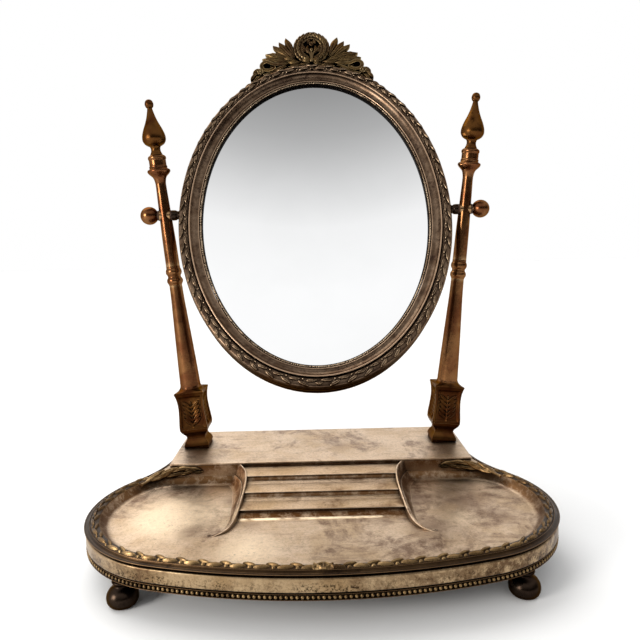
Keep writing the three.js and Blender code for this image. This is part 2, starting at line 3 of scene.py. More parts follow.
import bmesh
import bpy
import numpy as np
from mathutils import Matrix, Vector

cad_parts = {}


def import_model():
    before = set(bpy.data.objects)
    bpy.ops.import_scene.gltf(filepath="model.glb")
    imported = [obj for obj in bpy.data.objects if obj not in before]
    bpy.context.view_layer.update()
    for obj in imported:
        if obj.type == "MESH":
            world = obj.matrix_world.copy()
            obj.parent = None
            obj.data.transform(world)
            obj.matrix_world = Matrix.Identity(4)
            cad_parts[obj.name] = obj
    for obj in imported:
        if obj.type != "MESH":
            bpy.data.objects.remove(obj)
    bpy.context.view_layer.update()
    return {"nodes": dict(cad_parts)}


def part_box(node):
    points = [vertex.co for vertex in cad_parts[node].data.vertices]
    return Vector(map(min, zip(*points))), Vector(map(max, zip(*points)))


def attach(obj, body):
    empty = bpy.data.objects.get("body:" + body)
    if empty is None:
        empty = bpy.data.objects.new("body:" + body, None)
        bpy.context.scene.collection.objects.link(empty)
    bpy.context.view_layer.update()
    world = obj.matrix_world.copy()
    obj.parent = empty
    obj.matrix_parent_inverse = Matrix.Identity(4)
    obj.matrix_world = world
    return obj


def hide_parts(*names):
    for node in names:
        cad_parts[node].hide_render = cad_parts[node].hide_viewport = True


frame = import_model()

MM = 0.001
WELD = 1e-6
SIDES = (("left", -1), ("right", 1))


# ---------------------------------------------------------------- places from the frame

def low(node):
    return np.array(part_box(node)[0]) / MM


def high(node):
    return np.array(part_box(node)[1]) / MM


def middle(node):
    return (low(node) + high(node)) / 2


FRONT = low("bead_border")[1]
BASE_DEPTH = high("bead_border")[1] - FRONT
PLATFORM_TOP = high("platform")[2]
PLATFORM_HALF = high("platform")[0]
PLATFORM_FRONT = low("platform")[1] - FRONT
PLATFORM_BACK = high("platform")[1] - FRONT
FLOOR_BOTTOM = low("floor_plate")[2]
FLOOR_TOP = high("floor_plate")[2]
LEDGE_TOP = high("tray_border")[2]
BAND_BOTTOM = low("side_band")[2]
BAND_TOP = high("side_band")[2]
BEAD_BOTTOM = low("bead_border")[2]
BEAD_TOP = high("bead_border")[2]
POST_FOOT = np.array([abs(middle("post_washer_right")[0]), middle("post_washer_right")[1], PLATFORM_TOP])
PIVOT = np.array([0, middle("pivot_screw_right")[1], middle("pivot_screw_right")[2]])
FOOT_TOP = high("foot_front_right")[2]

# Base outline: front arc, round ends, hollow sweep back to the platform
FRONT_RADIUS = 479
END_RADIUS = 103
END_CENTRE = np.array([105.2, 118])
END_SWEEP = math.radians(38)
REAR_RADIUS = 116
WELL_INSET = 12.5
WELL_SWEEP = math.radians(36)
WELL_FILLET = 36
COVE_WIDTH = 9.5

# Posts and mirror
POST_LEAN = math.radians(5.35)
SIGHT_A = 119
SIGHT_B = 168
FRAME_WIDTH = 23
REST_TILT = math.radians(28)


def on_tray(points):
    return points + np.array([0, FRONT, 0])


def on_post(side):
    c, s = math.cos(POST_LEAN), math.sin(POST_LEAN) * side

    def place(points):
        x, y, z = points.T
        return np.stack([x * c + z * s, y, z * c - x * s], 1) + POST_FOOT * (side, 1, 1)
    return place


def on_mirror(points):
    x, up, out = points.T
    c, s = math.cos(REST_TILT), math.sin(REST_TILT)
    return np.stack([x, up * s - out * c, up * c + out * s], 1) + PIVOT


def on_pivot(side):
    """Turned pieces along X: their own z runs outward from the middle of the object."""
    def place(points):
        x, y, z = points.T
        return np.stack([side * z, y, x * side], 1) + PIVOT
    return place


# ---------------------------------------------------------------- curves

def unit(vectors):
    """The same directions with length 1."""
    return vectors / np.linalg.norm(vectors, axis=-1, keepdims=True)


def distances(line):
    """The distance gone along a line at each of its points."""
    return np.concatenate([[0], np.cumsum(np.linalg.norm(np.diff(line, axis=0), axis=1))])


def level(plan, height):
    """Plan points, all at one height."""
    return np.column_stack([plan, np.full(len(plan), height)])


def spline(points, steps=6, closed=False):
    """A smooth curve through the points; a point given twice stays a corner."""
    p = np.array(points, float)
    if closed:
        pad = np.vstack([p[-1:], p, p[:2]])
    else:
        pad = np.vstack([2 * p[:1] - p[1:2], p, 2 * p[-1:] - p[-2:-1]])
    t = np.linspace(0, 1, steps, endpoint=False)[:, None]
    spans = []
    for a, b, c, d in zip(pad, pad[1:], pad[2:], pad[3:]):
        spans.append(0.5 * (2 * b + (c - a) * t + (2 * a - 5 * b + 4 * c - d) * t ** 2
                            + (3 * b - a - 3 * c + d) * t ** 3))
    if not closed:
        spans.append(p[-1:])
    return np.vstack(spans)


def even(points, count):
    """The same open line with evenly spaced points."""
    points = np.asarray(points, float)
    gone = distances(points)
    at = np.linspace(0, gone[-1], count)
    return np.stack([np.interp(at, gone, column) for column in points.T], 1)


def arc(centre, radius, start, end, facing=1.0, count=40):
    """Rows of x, y and the outward direction along an arc in plan."""
    t = np.linspace(start, end, count + 1)
    way = np.stack([np.cos(t), np.sin(t)], 1)
    return np.hstack([np.array(centre) + radius * way, facing * way])


def mirrored(path):
    return path[::-1] * (-1, 1, -1, 1)


def base_outline():
    join = math.atan2(END_CENTRE[1] - FRONT_RADIUS, END_CENTRE[0])
    front = arc((0, FRONT_RADIUS), FRONT_RADIUS, -math.pi / 2, join)
    end = arc(END_CENTRE, END_RADIUS, join, END_SWEEP, count=80)
    reach = END_RADIUS + REAR_RADIUS
    hollow = END_CENTRE + reach * np.array([math.cos(END_SWEEP), math.sin(END_SWEEP)])
    rear = arc(hollow, REAR_RADIUS, math.pi + END_SWEEP, math.pi, -1)
    corner = [[rear[-1, 0], BASE_DEPTH, 1, 1]]
    half = np.vstack([front, end[1:], rear[1:], corner])
    return np.vstack([half, mirrored(half)[:-1]])


def half_well(inset):
    """Right half of the line inset from the front and ends, with the fillet onto the platform."""
    join = math.atan2(END_CENTRE[1] - FRONT_RADIUS, END_CENTRE[0])
    front = arc((0, FRONT_RADIUS), FRONT_RADIUS - inset, -math.pi / 2, join)
    end = arc(END_CENTRE, END_RADIUS - inset, join, WELL_SWEEP, count=70)
    shift = END_RADIUS - WELL_INSET - WELL_FILLET
    corner = END_CENTRE + shift * np.array([math.cos(WELL_SWEEP), math.sin(WELL_SWEEP)])
    fillet = arc(corner, END_RADIUS - inset - shift, WELL_SWEEP, math.pi / 2, count=24)
    return np.vstack([front, end[1:], fillet[1:]])


def walk(path, offset, step, closed=True):
    """Evenly spaced rows along a path's offset line, and the distance gone at each."""
    line = np.hstack([path[:, :2] + path[:, 2:] * offset, path[:, 2:]])
    if closed:
        line = np.vstack([line, line[:1]])
    gone = distances(line[:, :2])
    count = max(2, round(gone[-1] / step)) + (0 if closed else 1)
    at = np.linspace(0, gone[-1], count, endpoint=not closed)
    rows = np.stack([np.interp(at, gone, column) for column in line.T], 1)
    return np.hstack([rows[:, :2], unit(rows[:, 2:])]), at


def sight_edge(angle):
    """Places on the oval sight edge, from the top, and the outward direction at each."""
    place = np.stack([SIGHT_A * np.sin(angle), SIGHT_B * np.cos(angle)], -1)
    return place, unit(np.stack([SIGHT_B * np.sin(angle), SIGHT_A * np.cos(angle)], -1))


def oval(count, offset):
    """Evenly spaced stations round the sight edge: place, outward way and distance gone."""
    t = np.linspace(0, 2 * np.pi, 4001)
    line, way = sight_edge(t)
    gone = distances(line + way * offset)
    at = np.linspace(0, gone[-1], count, endpoint=False)
    columns = [np.interp(at, gone, column) for column in (*line.T, *way.T)]
    return np.stack(columns[:2], 1), np.stack(columns[2:], 1), at, gone[-1]


# ---------------------------------------------------------------- mesh building

# A direction that no rod here runs along
OFF_AXIS = (0.13, 0.2, 1.0)


def put(name, data):
    """A new object in the scene."""
    obj = bpy.data.objects.new(name, data)
    bpy.context.scene.collection.objects.link(obj)
    return obj


def mesh_object(name, points, faces, weld=0.0):
    """An object whose faces point out; points closer than weld become one."""
    mesh = bpy.data.meshes.new(name)
    mesh.from_pydata(points.tolist(), [], faces)
    bm = bmesh.new()
    bm.from_mesh(mesh)
    if weld:
        bmesh.ops.remove_doubles(bm, verts=bm.verts, dist=weld)
    bmesh.ops.recalc_face_normals(bm, faces=bm.faces)
    bm.to_mesh(mesh)
    bm.free()
    return put(name, mesh)


class Shape:
    """Closed bodies, in millimetres, that become one object."""

    def __init__(self):
        self.points = []
        self.faces = []
        self.count = 0

    def add(self, points, faces):
        points = np.asarray(points, float).reshape(-1, 3)
        self.points.append(points)
        self.faces.extend([[i + self.count for i in face] for face in faces])
        self.count += len(points)
        return self

    def skin(self, rings, closed=False):
        """Joins rings of points, shaped (rings, points, 3), and caps the ends."""
        rings = np.asarray(rings, float)
        n, m = rings.shape[:2]
        i = np.arange(n if closed else n - 1)[:, None]
        j = np.arange(m)[None]
        here, there = i * m, (i + 1) % n * m
        after = (j + 1) % m
        faces = np.stack([here + j, there + j, there + after, here + after], -1).reshape(-1, 4).tolist()
        if not closed:
            faces += [list(range(m)), list(range((n - 1) * m, n * m))]
        return self.add(rings, faces)

    def lathe(self, profile, segments=48):
        """Turns (radius, height) rows about z."""
        profile = np.asarray(profile, float)
        t = np.linspace(0, 2 * np.pi, segments, endpoint=False)
        r, z = profile[:, :1], profile[:, 1:]
        return self.skin(np.stack([r * np.cos(t), r * np.sin(t), z + 0 * t], -1))

    def tube(self, path, radius, sides=10):
        """A round rod along a 3-D path; radius may change along it."""
        path = np.asarray(path, float)
        way = unit(np.gradient(path, axis=0))
        first = unit(np.cross(way, OFF_AXIS))
        second = np.cross(way, first)
        t = np.linspace(0, 2 * np.pi, sides, endpoint=False)[None, :, None]
        r = np.broadcast_to(radius, len(path))[:, None, None]
        return self.skin(path[:, None] + r * (first[:, None] * np.cos(t) + second[:, None] * np.sin(t)))

    def ball(self, centre, radii, rings=8, segments=12):
        t = np.linspace(0, np.pi, rings + 1)[:, None]
        a = np.linspace(0, 2 * np.pi, segments, endpoint=False)[None]
        sphere = np.stack([np.sin(t) * np.cos(a), np.sin(t) * np.sin(a), np.cos(t) + 0 * a], -1)
        return self.skin(sphere * radii + centre)

    def leaf(self, path, normal, width, height, lobes=0, back=1.2, curl=0.0, rows=15, cols=9, peak=0.85):
        """A carved leaf along a path: pointed, ridged in the middle and flat behind."""
        path = even(spline(path, 8), rows)
        way = unit(np.gradient(path, axis=0))
        normal = unit(np.asarray(normal, float))
        side = unit(np.cross(normal, way))
        t = np.linspace(0, 1, rows)[:, None]
        q = np.linspace(-1, 1, cols)[None]
        half = width * (0.06 + np.sin(np.pi * t ** peak) ** 0.75)
        half = half * (1 - 0.22 * np.abs(np.sin(lobes * np.pi * t)) * (lobes > 0))
        body = (1 - np.abs(q) ** 2.2) * (0.45 + 0.55 * np.sin(np.pi * t))
        groove = 0.4 * np.exp(-(q / 0.17) ** 2) * np.sin(np.pi * t)
        rise = height * (body - groove) + curl * t ** 2
        top = path[:, None] + side[:, None] * (half * q)[..., None] + normal * rise[..., None]
        under = path[:, None] + side[:, None] * (half * q * 0.9)[:, ::-1, None] - normal * back
        return self.skin(np.concatenate([top, under], 1))

    def build(self, name, place, body, slot, material, nodes=(), sharp=40, floor=None):
        points = place(np.vstack(self.points)) * MM
        if floor is not None:
            points[:, 2] = np.maximum(points[:, 2], floor * MM)
        finish_piece(mesh_object(name, points, self.faces, WELD), body, material, nodes, sharp)


def finish_piece(obj, body, material, nodes, sharp):
    mesh = obj.data
    mesh.polygons.foreach_set("use_smooth", [True] * len(mesh.polygons))
    mesh.set_sharp_from_angle(angle=math.radians(sharp))
    mesh.materials.clear()
    mesh.materials.append(material)
    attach(obj, body)
    if nodes:
        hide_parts(*nodes)


def sweep(rows, section):
    """Rings along plan rows; the section is (outward, height), one for all or one per row."""
    section = np.broadcast_to(section, (len(rows), *np.shape(section)[-2:]))
    plan = rows[:, None, :2] + rows[:, None, 2:] * section[..., :1]
    return np.concatenate([plan, section[..., 1:]], -1)


def oval_sweep(at, way, section):
    """Rings round the mirror; the section is (outward from the sight edge, out of the glass)."""
    section = np.broadcast_to(section, (len(at), *np.shape(section)[-2:]))
    plan = at[:, None] + way[:, None] * section[..., :1]
    return np.concatenate([plan, section[..., 1:]], -1)


def cut_away(obj, tools):
    """Takes the tools' solids out of an object, then removes the tools."""
    for tool in tools:
        modifier = obj.modifiers.new("cut", "BOOLEAN")
        modifier.operation = "DIFFERENCE"
        modifier.solver = "EXACT"
        modifier.object = tool
    bpy.context.view_layer.update()
    evaluated = obj.evaluated_get(bpy.context.evaluated_depsgraph_get())
    mesh = bpy.data.meshes.new_from_object(evaluated)
    obj.modifiers.clear()
    obj.data = mesh
    for tool in tools:
        bpy.data.objects.remove(tool)


def raw(shape, name):
    """A body placed on the tray, with no material yet."""
    return mesh_object(name, on_tray(np.vstack(shape.points)) * MM, shape.faces)


# ---------------------------------------------------------------- materials

class Nodes:
    """A node tree, with short calls for the nodes used here."""

    def __init__(self, owner):
        owner.use_nodes = True
        self.tree = owner.node_tree

    def make(self, kind, **values):
        node = self.tree.nodes.new(kind)
        for key, value in values.items():
            setattr(node, key, value)
        return node

    def link(self, source, target):
        self.tree.links.new(source, target)

    def step(self, source, start, end, top=1.0):
        node = self.make("ShaderNodeMapRange", interpolation_type="SMOOTHSTEP")
        node.inputs["From Min"].default_value = start
        node.inputs["From Max"].default_value = end
        node.inputs["To Max"].default_value = top
        self.link(source, node.inputs["Value"])
        return node.outputs["Result"]

    def spread(self, source, start, end):
        node = self.make("ShaderNodeMapRange")
        node.inputs["To Min"].default_value = start
        node.inputs["To Max"].default_value = end
        self.link(source, node.inputs["Value"])
        return node.outputs["Result"]

    def times(self, first, second):
        node = self.make("ShaderNodeMath", operation="MULTIPLY")
        self.link(first, node.inputs[0])
        self.link(second, node.inputs[1])
        return node.outputs["Value"]

    def mix(self, amount, first, second):
        node = self.make("ShaderNodeMix", data_type="RGBA")
        self.link(amount, node.inputs["Factor"])
        for socket, value in ((node.inputs["A"], first), (node.inputs["B"], second)):
            if isinstance(value, tuple):
                socket.default_value = (*value, 1)
            else:
                self.link(value, socket)
        return node.outputs["Result"]


class Look(Nodes):
    """A material's nodes: patterns fixed to the piece, and wear and painted light by its shape."""

    def __init__(self, name):
        self.material = bpy.data.materials.new(name)
        super().__init__(self.material)
        self.shader = self.tree.nodes["Principled BSDF"]
        places = self.make("ShaderNodeTexCoord")
        self.where, self.own_normal = places.outputs["Object"], places.outputs["Normal"]

    def stretched(self, scale):
        node = self.make("ShaderNodeMapping")
        node.inputs["Scale"].default_value = scale
        self.link(self.where, node.inputs["Vector"])
        return node.outputs["Vector"]

    def noise(self, scale, detail=4.0, rough=0.55, warp=0.0, where=None):
        node = self.make("ShaderNodeTexNoise")
        node.inputs["Scale"].default_value = scale
        node.inputs["Detail"].default_value = detail
        node.inputs["Roughness"].default_value = rough
        node.inputs["Distortion"].default_value = warp
        self.link(where or self.where, node.inputs["Vector"])
        return node.outputs["Fac"]

    def hollows(self, distance, start, end):
        """1 deep in crevices, 0 in the open."""
        node = self.make("ShaderNodeAmbientOcclusion", samples=6)
        node.inputs["Distance"].default_value = distance
        return self.step(node.outputs["AO"], end, start)

    def edges(self, start, end):
        """1 on sharp outward edges."""
        node = self.make("ShaderNodeNewGeometry")
        return self.step(node.outputs["Pointiness"], start, end)

    def facing(self, start, end):
        """From the piece's own upward direction: 0 where it faces start, 1 where it faces end."""
        parts = self.make("ShaderNodeSeparateXYZ")
        self.link(self.own_normal, parts.inputs[0])
        return self.step(parts.outputs["Z"], start, end)

    def along(self, axis, start, end):
        """0 at one place along an axis of the piece, 1 at another."""
        parts = self.make("ShaderNodeSeparateXYZ")
        self.link(self.where, parts.inputs[0])
        return self.step(parts.outputs[axis], start * MM, end * MM)

    def spot(self, centre, radius, soft):
        """1 near a place on the piece, with a ragged edge."""
        node = self.make("ShaderNodeVectorMath", operation="DISTANCE")
        self.link(self.where, node.inputs[0])
        node.inputs[1].default_value = [c * MM for c in centre]
        ragged = self.make("ShaderNodeMath", operation="MULTIPLY_ADD")
        self.link(self.noise(60, 5, 0.6), ragged.inputs[0])
        ragged.inputs[1].default_value = soft * MM
        self.link(node.outputs["Value"], ragged.inputs[2])
        return self.step(ragged.outputs["Value"], (radius + soft) * MM, (radius - soft / 2) * MM)

    def bump(self, source, distance, strength=0.5):
        node = self.make("ShaderNodeBump")
        node.inputs["Distance"].default_value = distance
        node.inputs["Strength"].default_value = strength
        self.link(source, node.inputs["Height"])
        self.link(node.outputs["Normal"], self.shader.inputs["Normal"])

    def finish(self, color, roughness, metallic=1.0, glancing=(1, 1, 1)):
        self.link(color, self.shader.inputs["Base Color"])
        self.shader.inputs["Specular Tint"].default_value = (*glancing, 1)
        self.link(roughness, self.shader.inputs["Roughness"])
        self.shader.inputs["Metallic"].default_value = metallic
        return self.material


def toned(color, shares):
    return tuple(min(1, c * share) for c, share in zip(color, shares))


def silver_plate(name, bright, warm, stain, grime_and_shade, pitting=0.3, edge_wear_and_glint=0.5, wall=0.0, cavity=0.006,
                 pitted=None, ogee=None, spots=(), polish_and_sheen=(), rough=(0.24, 0.55), edge=(0.53, 0.62),
                 glancing=(1, 1, 1), grain=1.0):
    """Old silver plate over brass: cloudy, stained, pitted and black in its crevices, with painted shade on
    upright and downward faces and edges lightened by wear and painted highlight.
    """
    n = Look(name)

    def mottled(scale, least):
        return n.spread(n.step(n.noise(scale, 6, 0.75), 0.36, 0.6), least, 1.1)

    gleam = toned(bright, (1.42, 1.5, 1.48))
    brown = toned(warm, (0.3, 0.21, 0.14))
    color = n.mix(n.step(n.noise(26 * grain, 5, 0.6, 0.4), 0.36, 0.66), bright, warm)
    patches = n.step(n.noise(17 * grain, 6, 0.68, 1.2), 0.48, 0.62)
    color = n.mix(n.times(patches, n.step(n.noise(110 * grain, 6, 0.75), 0.32, 0.66)), color, stain)
    streaks = n.noise(170, 4, 0.7, 0.0, n.stretched((0.12, 1, 1)))
    color = n.mix(n.step(streaks, 0.54, 0.74, 0.4), color, stain)
    color = n.mix(n.step(n.noise(480, 5, 0.85), 0.45, 0.62, 0.34), color, stain)
    # Bright patches stand for polish and painted reflection; dark patches are stains.
    for marks, tone, scale, grit, least in ((polish_and_sheen, gleam, 300, 0.75, 0.2), (spots, stain, 90, 0.7, 0.3)):
        for mark in marks:
            broken = n.spread(n.noise(scale, 5, grit), least, 1.1)
            color = n.mix(n.times(n.spot(*mark), broken), color, tone)
    pits = n.step(n.noise(460, 5, 0.75, 0.3), *((0.48, 0.6) if pitted else (0.56, 0.66)), pitting)
    where = n.step(n.noise(34, 4, 0.6), 0.42, 0.62)
    if pitted:
        where = n.times(n.along("Z", *pitted), n.spread(n.step(n.noise(26, 4, 0.7), 0.4, 0.56), 0.4, 1.0))
        # The band darkens towards the right, to the stain tone.
        darker_to_right = n.times(n.along("X", -20, 150), n.step(n.noise(120, 5, 0.75), 0.38, 0.58))
        color = n.mix(darker_to_right, color, stain)
    color = n.mix(n.times(pits, where), color, grime_and_shade)
    # Painted shade: upright faces turn a mottled brown.
    if wall:
        color = n.mix(n.times(n.facing(0.985, 0.78), mottled(85, wall)), color, brown)
    # Painted shade: the last riser turns a mottled brown that fades out towards the floor.
    if ogee:
        start, deep, fading, end = ogee
        shade = n.times(n.along("Y", start, deep), mottled(75, 0.55))
        color = n.mix(n.times(shade, n.along("Y", end, fading)), color, toned(brown, (0.5, 0.42, 0.34)))
        # A broken bright line along the riser: wear of the plate and painted highlight.
        line = n.times(n.along("Y", start + 2.5, start + 4), n.along("Y", start + 7, start + 5.5))
        rubbed_and_glint = n.step(n.noise(30, 5, 0.7, 0.0, n.stretched((0.5, 1, 1))), 0.44, 0.58)
        color = n.mix(n.times(line, rubbed_and_glint), color, gleam)
    # Edges lightened: wear of the plate and painted highlight.
    color = n.mix(n.edges(*edge), color, toned(bright, 3 * (1 + edge_wear_and_glint,)))
    color = n.mix(n.hollows(cavity, 0.35, 0.97), color, grime_and_shade)
    # Painted shade: faces that point downward go to the dark tone.
    color = n.mix(n.facing(-0.1, -0.6), color, grime_and_shade)
    n.bump(n.noise(240, 6, 0.7), 0.0004, 0.35)
    return n.finish(color, n.spread(n.noise(60, 5, 0.65), *rough), glancing=glancing)


def bronze(name, base, red, dark, bright, cavity=0.005, rough=(0.16, 0.42)):
    """Brown patinated bronze with redder high places and dark hollows; edges lightened by wear and painted
    highlight.
    """
    n = Look(name)
    color = n.mix(n.step(n.noise(38, 5, 0.6, 0.5), 0.38, 0.64), base, red)
    color = n.mix(n.step(n.noise(150, 5, 0.7), 0.54, 0.72, 0.7), color, dark)
    # Edges lightened: wear and painted highlight.
    color = n.mix(n.edges(0.525, 0.62), color, bright)
    color = n.mix(n.hollows(cavity, 0.35, 0.97), color, dark)
    n.bump(n.noise(320, 5, 0.7), 0.0003, 0.3)
    return n.finish(color, n.spread(n.noise(110, 5, 0.6), *rough), glancing=(0.6, 0.5, 0.42))


def steel():
    n = Look("old_steel")
    rust = n.step(n.noise(220, 5, 0.7), 0.5, 0.66)
    color = n.mix(rust, (0.34, 0.32, 0.3), (0.13, 0.075, 0.045))
    n.bump(n.noise(700, 4, 0.7), 0.0002, 0.3)
    return n.finish(color, n.spread(rust, 0.3, 0.75))


def mirror_silver():
    n = Look("mirror_silver")
    haze = n.noise(14, 3, 0.5)
    color = n.mix(n.step(haze, 0.4, 0.7), (0.97, 0.975, 0.98), (0.95, 0.955, 0.96))
    return n.finish(color, n.spread(haze, 0.004, 0.02))


def walnut():
    n = Look("walnut_board")
    along = n.stretched((1, 0.08, 0.08))
    grain = n.noise(220, 6, 0.65, 0.6, along)
    color = n.mix(n.step(grain, 0.35, 0.65), (0.16, 0.075, 0.032), (0.065, 0.028, 0.013))
    color = n.mix(n.step(n.noise(12, 4, 0.6), 0.5, 0.75), color, (0.045, 0.024, 0.014))
    n.bump(grain, 0.0006, 0.45)
    return n.finish(color, n.spread(n.noise(90), 0.5, 0.78), 0.0)


def pressed_fibre(name, light, dark, speckle, weave, relief, sheen, rough):
    """Card or fibre, speckled and dull; the scales are of its speckle, surface and sheen."""
    n = Look(name)
    color = n.mix(n.noise(speckle, 4, 0.7), light, dark)
    n.bump(n.noise(weave, 3, 0.6), 0.0002, relief)
    return n.finish(color, n.spread(n.noise(sheen), *rough), 0.0)


def on_tray_marks(*marks):
    """Marks on the tray: (x, y, height), radius and softness of the edge."""
    return [((x, FRONT + y, z), radius, soft) for (x, y, z), radius, soft in marks]


# Near-black tones for pits and crevices, also used as painted shade on downward faces.
SOOT_AND_SHADE = (0.004, 0.002, 0.001)
BROWN_SOOT_AND_SHADE = (0.003, 0.002, 0.001)
TRAY_STAINS = on_tray_marks(((-112, 84, 38), 12, 14), ((90, 80, 38), 16, 16), ((-84, 140, 38), 9, 14),
                            ((88, 138, 38), 16, 20), ((52, 96, 44), 10, 22), ((-60, 92, 40), 10, 22),
                            ((20, 230, 59), 12, 30), ((132, 135, 38), 26, 30), ((160, 95, 38), 14, 26))
# Bright patches on the tray: polish and painted reflection.
TRAY_POLISH_AND_SHEEN = on_tray_marks(((-130, 112, 38), 44, 26), ((-60, 48, 38), 26, 30), ((122, 96, 38), 14, 24))
RIM_STAINS = on_tray_marks(((-185, 110, 46), 62, 44), ((190, 120, 46), 56, 44))
# A plate's four tones are bright, warm, stain, and a dark tone for pits, crevices and painted shade on
# downward faces
TRAY_TONES = ((0.7, 0.525, 0.365), (0.56, 0.395, 0.24), (0.2, 0.115, 0.066), (0.02, 0.011, 0.006))
PLATE = silver_plate("tray_plate", *TRAY_TONES, 0.5, 0.35, wall=0.45, cavity=0.018,
                     spots=TRAY_STAINS, polish_and_sheen=TRAY_POLISH_AND_SHEEN)
RIDGE_PLATE = silver_plate("ridge_plate", *TRAY_TONES, 0.5, 0.35, wall=0.12, cavity=0.01)
# The ogee marks place painted shade and a painted highlight on the last riser.
STEP_PLATE = silver_plate("step_plate", *TRAY_TONES, 0.5, 0.35, wall=0.45, cavity=0.007,
                          spots=TRAY_STAINS[4:6], glancing=(0.8, 0.64, 0.48),
                          ogee=[FRONT + y for y in (96.5, 105, 109.5, 111.5)])
RIM_PLATE = silver_plate("rim_plate", (0.4, 0.26, 0.12), (0.24, 0.145, 0.062), (0.07, 0.036, 0.017),
                         SOOT_AND_SHADE, 0.9, 0.9, cavity=0.003, edge=(0.56, 0.68), spots=RIM_STAINS)
BEAD_PLATE = silver_plate("bead_plate", (0.34, 0.22, 0.1), (0.2, 0.12, 0.05), (0.06, 0.032, 0.015),
                          SOOT_AND_SHADE, 0.9, 0.6, cavity=0.005, edge=(0.62, 0.8))
# Strongly lightened edges here: painted highlight along the moulding's thin lines.
COVE_PLATE = silver_plate("cove_plate", (0.06, 0.034, 0.016), (0.035, 0.019, 0.009), (0.013, 0.007, 0.004),
                          BROWN_SOOT_AND_SHADE, 0.8, 4.0)
BAND_PLATE = silver_plate("band_plate", (0.46, 0.33, 0.19), (0.32, 0.21, 0.105), (0.13, 0.075, 0.038),
                          (0.016, 0.008, 0.004), 0.9, 0.5, cavity=0.004,
                          pitted=(BAND_TOP - 1, BAND_BOTTOM + 5))
# Frame metal: strongly lightened edges, painted highlight as glints.
FRAME_PLATE = silver_plate("frame_metal", (0.2, 0.135, 0.088), (0.115, 0.07, 0.042), (0.035, 0.018, 0.013),
                           SOOT_AND_SHADE, 0.9, 3.4, cavity=0.008, rough=(0.18, 0.46),
                           edge=(0.52, 0.6), glancing=(0.75, 0.6, 0.48), grain=3.0)
BEZEL_PLATE = silver_plate("bezel_metal", (0.5, 0.38, 0.26), (0.2, 0.13, 0.08), (0.03, 0.016, 0.01),
                           BROWN_SOOT_AND_SHADE, 0.9, 0.8, cavity=0.0022, rough=(0.16, 0.4),
                           edge=(0.54, 0.66), glancing=(0.6, 0.45, 0.33))
# A brighter copy of the frame metal for the raised leaves: painted highlight.
LAUREL_PLATE = silver_plate("laurel_metal", (0.24, 0.165, 0.105), (0.13, 0.08, 0.047), (0.035, 0.018, 0.013),
                            SOOT_AND_SHADE, 0.9, 3.4, cavity=0.003, rough=(0.16, 0.42),
                            edge=(0.53, 0.62), glancing=(0.7, 0.56, 0.44), grain=3.0)
# Near-black lip: painted shade on the sight edge's inner wall.
LIP_SHADE = silver_plate("shaded_sight_lip", (0.012, 0.009, 0.007), (0.009, 0.006, 0.005), (0.005, 0.003, 0.003),
                         (0.002, 0.001, 0.001), 0.8, 1.0, rough=(0.5, 0.75))
CREST_BRASS = bronze("crest_brass", (0.12, 0.075, 0.03), (0.06, 0.03, 0.014), BROWN_SOOT_AND_SHADE,
                     (0.5, 0.37, 0.19), cavity=0.012, rough=(0.2, 0.45))
# Near-black: painted shade inside the wreath.
CREST_SHADE = bronze("crest_shade", (0.007, 0.005, 0.003), (0.005, 0.003, 0.002), (0.002, 0.001, 0.001),
                    (0.02, 0.014, 0.008), cavity=0.01, rough=(0.6, 0.85))
POST_BRONZE = bronze("post_bronze", (0.19, 0.088, 0.034), (0.12, 0.043, 0.017), (0.018, 0.007, 0.003),
                     (0.55, 0.36, 0.18), rough=(0.14, 0.34))
# A darker copy of the post bronze for the sockets and finials: painted shade.
SOCKET_BRONZE = bronze("socket_bronze", (0.1, 0.042, 0.011), (0.06, 0.019, 0.006), (0.008, 0.003, 0.001),
                       (0.42, 0.26, 0.12), cavity=0.006, rough=(0.2, 0.42))
FOOT_BRONZE = bronze("foot_bronze", (0.03, 0.02, 0.014), (0.022, 0.013, 0.009), (0.005, 0.003, 0.003),
                     (0.1, 0.07, 0.045))
STEEL = steel()
GLASS = mirror_silver()
CARD = pressed_fibre("grey_card", (0.32, 0.24, 0.16), (0.2, 0.145, 0.095), 900, 1500, 0.4, 300, (0.85, 1.0))
BOARD = walnut()
FIBRE = pressed_fibre("fibre_washer", (0.09, 0.04, 0.022), (0.035, 0.017, 0.011), 800, 1200, 0.5, 500,
                      (0.7, 0.95))


# ---------------------------------------------------------------- base

OUTLINE = base_outline()
BEAD_PITCH = 3.9
SHEET = 1.8
CORNER = 2.4


def tray_piece(shape, name, look, nodes, sharp):
    shape.build(name, on_tray, "base", "silver_plate", look, nodes, sharp)


def offset_plan(path, distance):
    return path[:, :2] + path[:, 2:] * distance


def moulding(name, section, look, node, sharp):
    """A closed section carried all round the tray's outline."""
    rows, _ = walk(OUTLINE, 0, 2.5)
    tray_piece(Shape().skin(sweep(rows, section), closed=True), name, look, (node,), sharp)


def full_well(inset):
    half = half_well(inset)
    return np.vstack([half, mirrored(half)[:-1]])[:, :2]


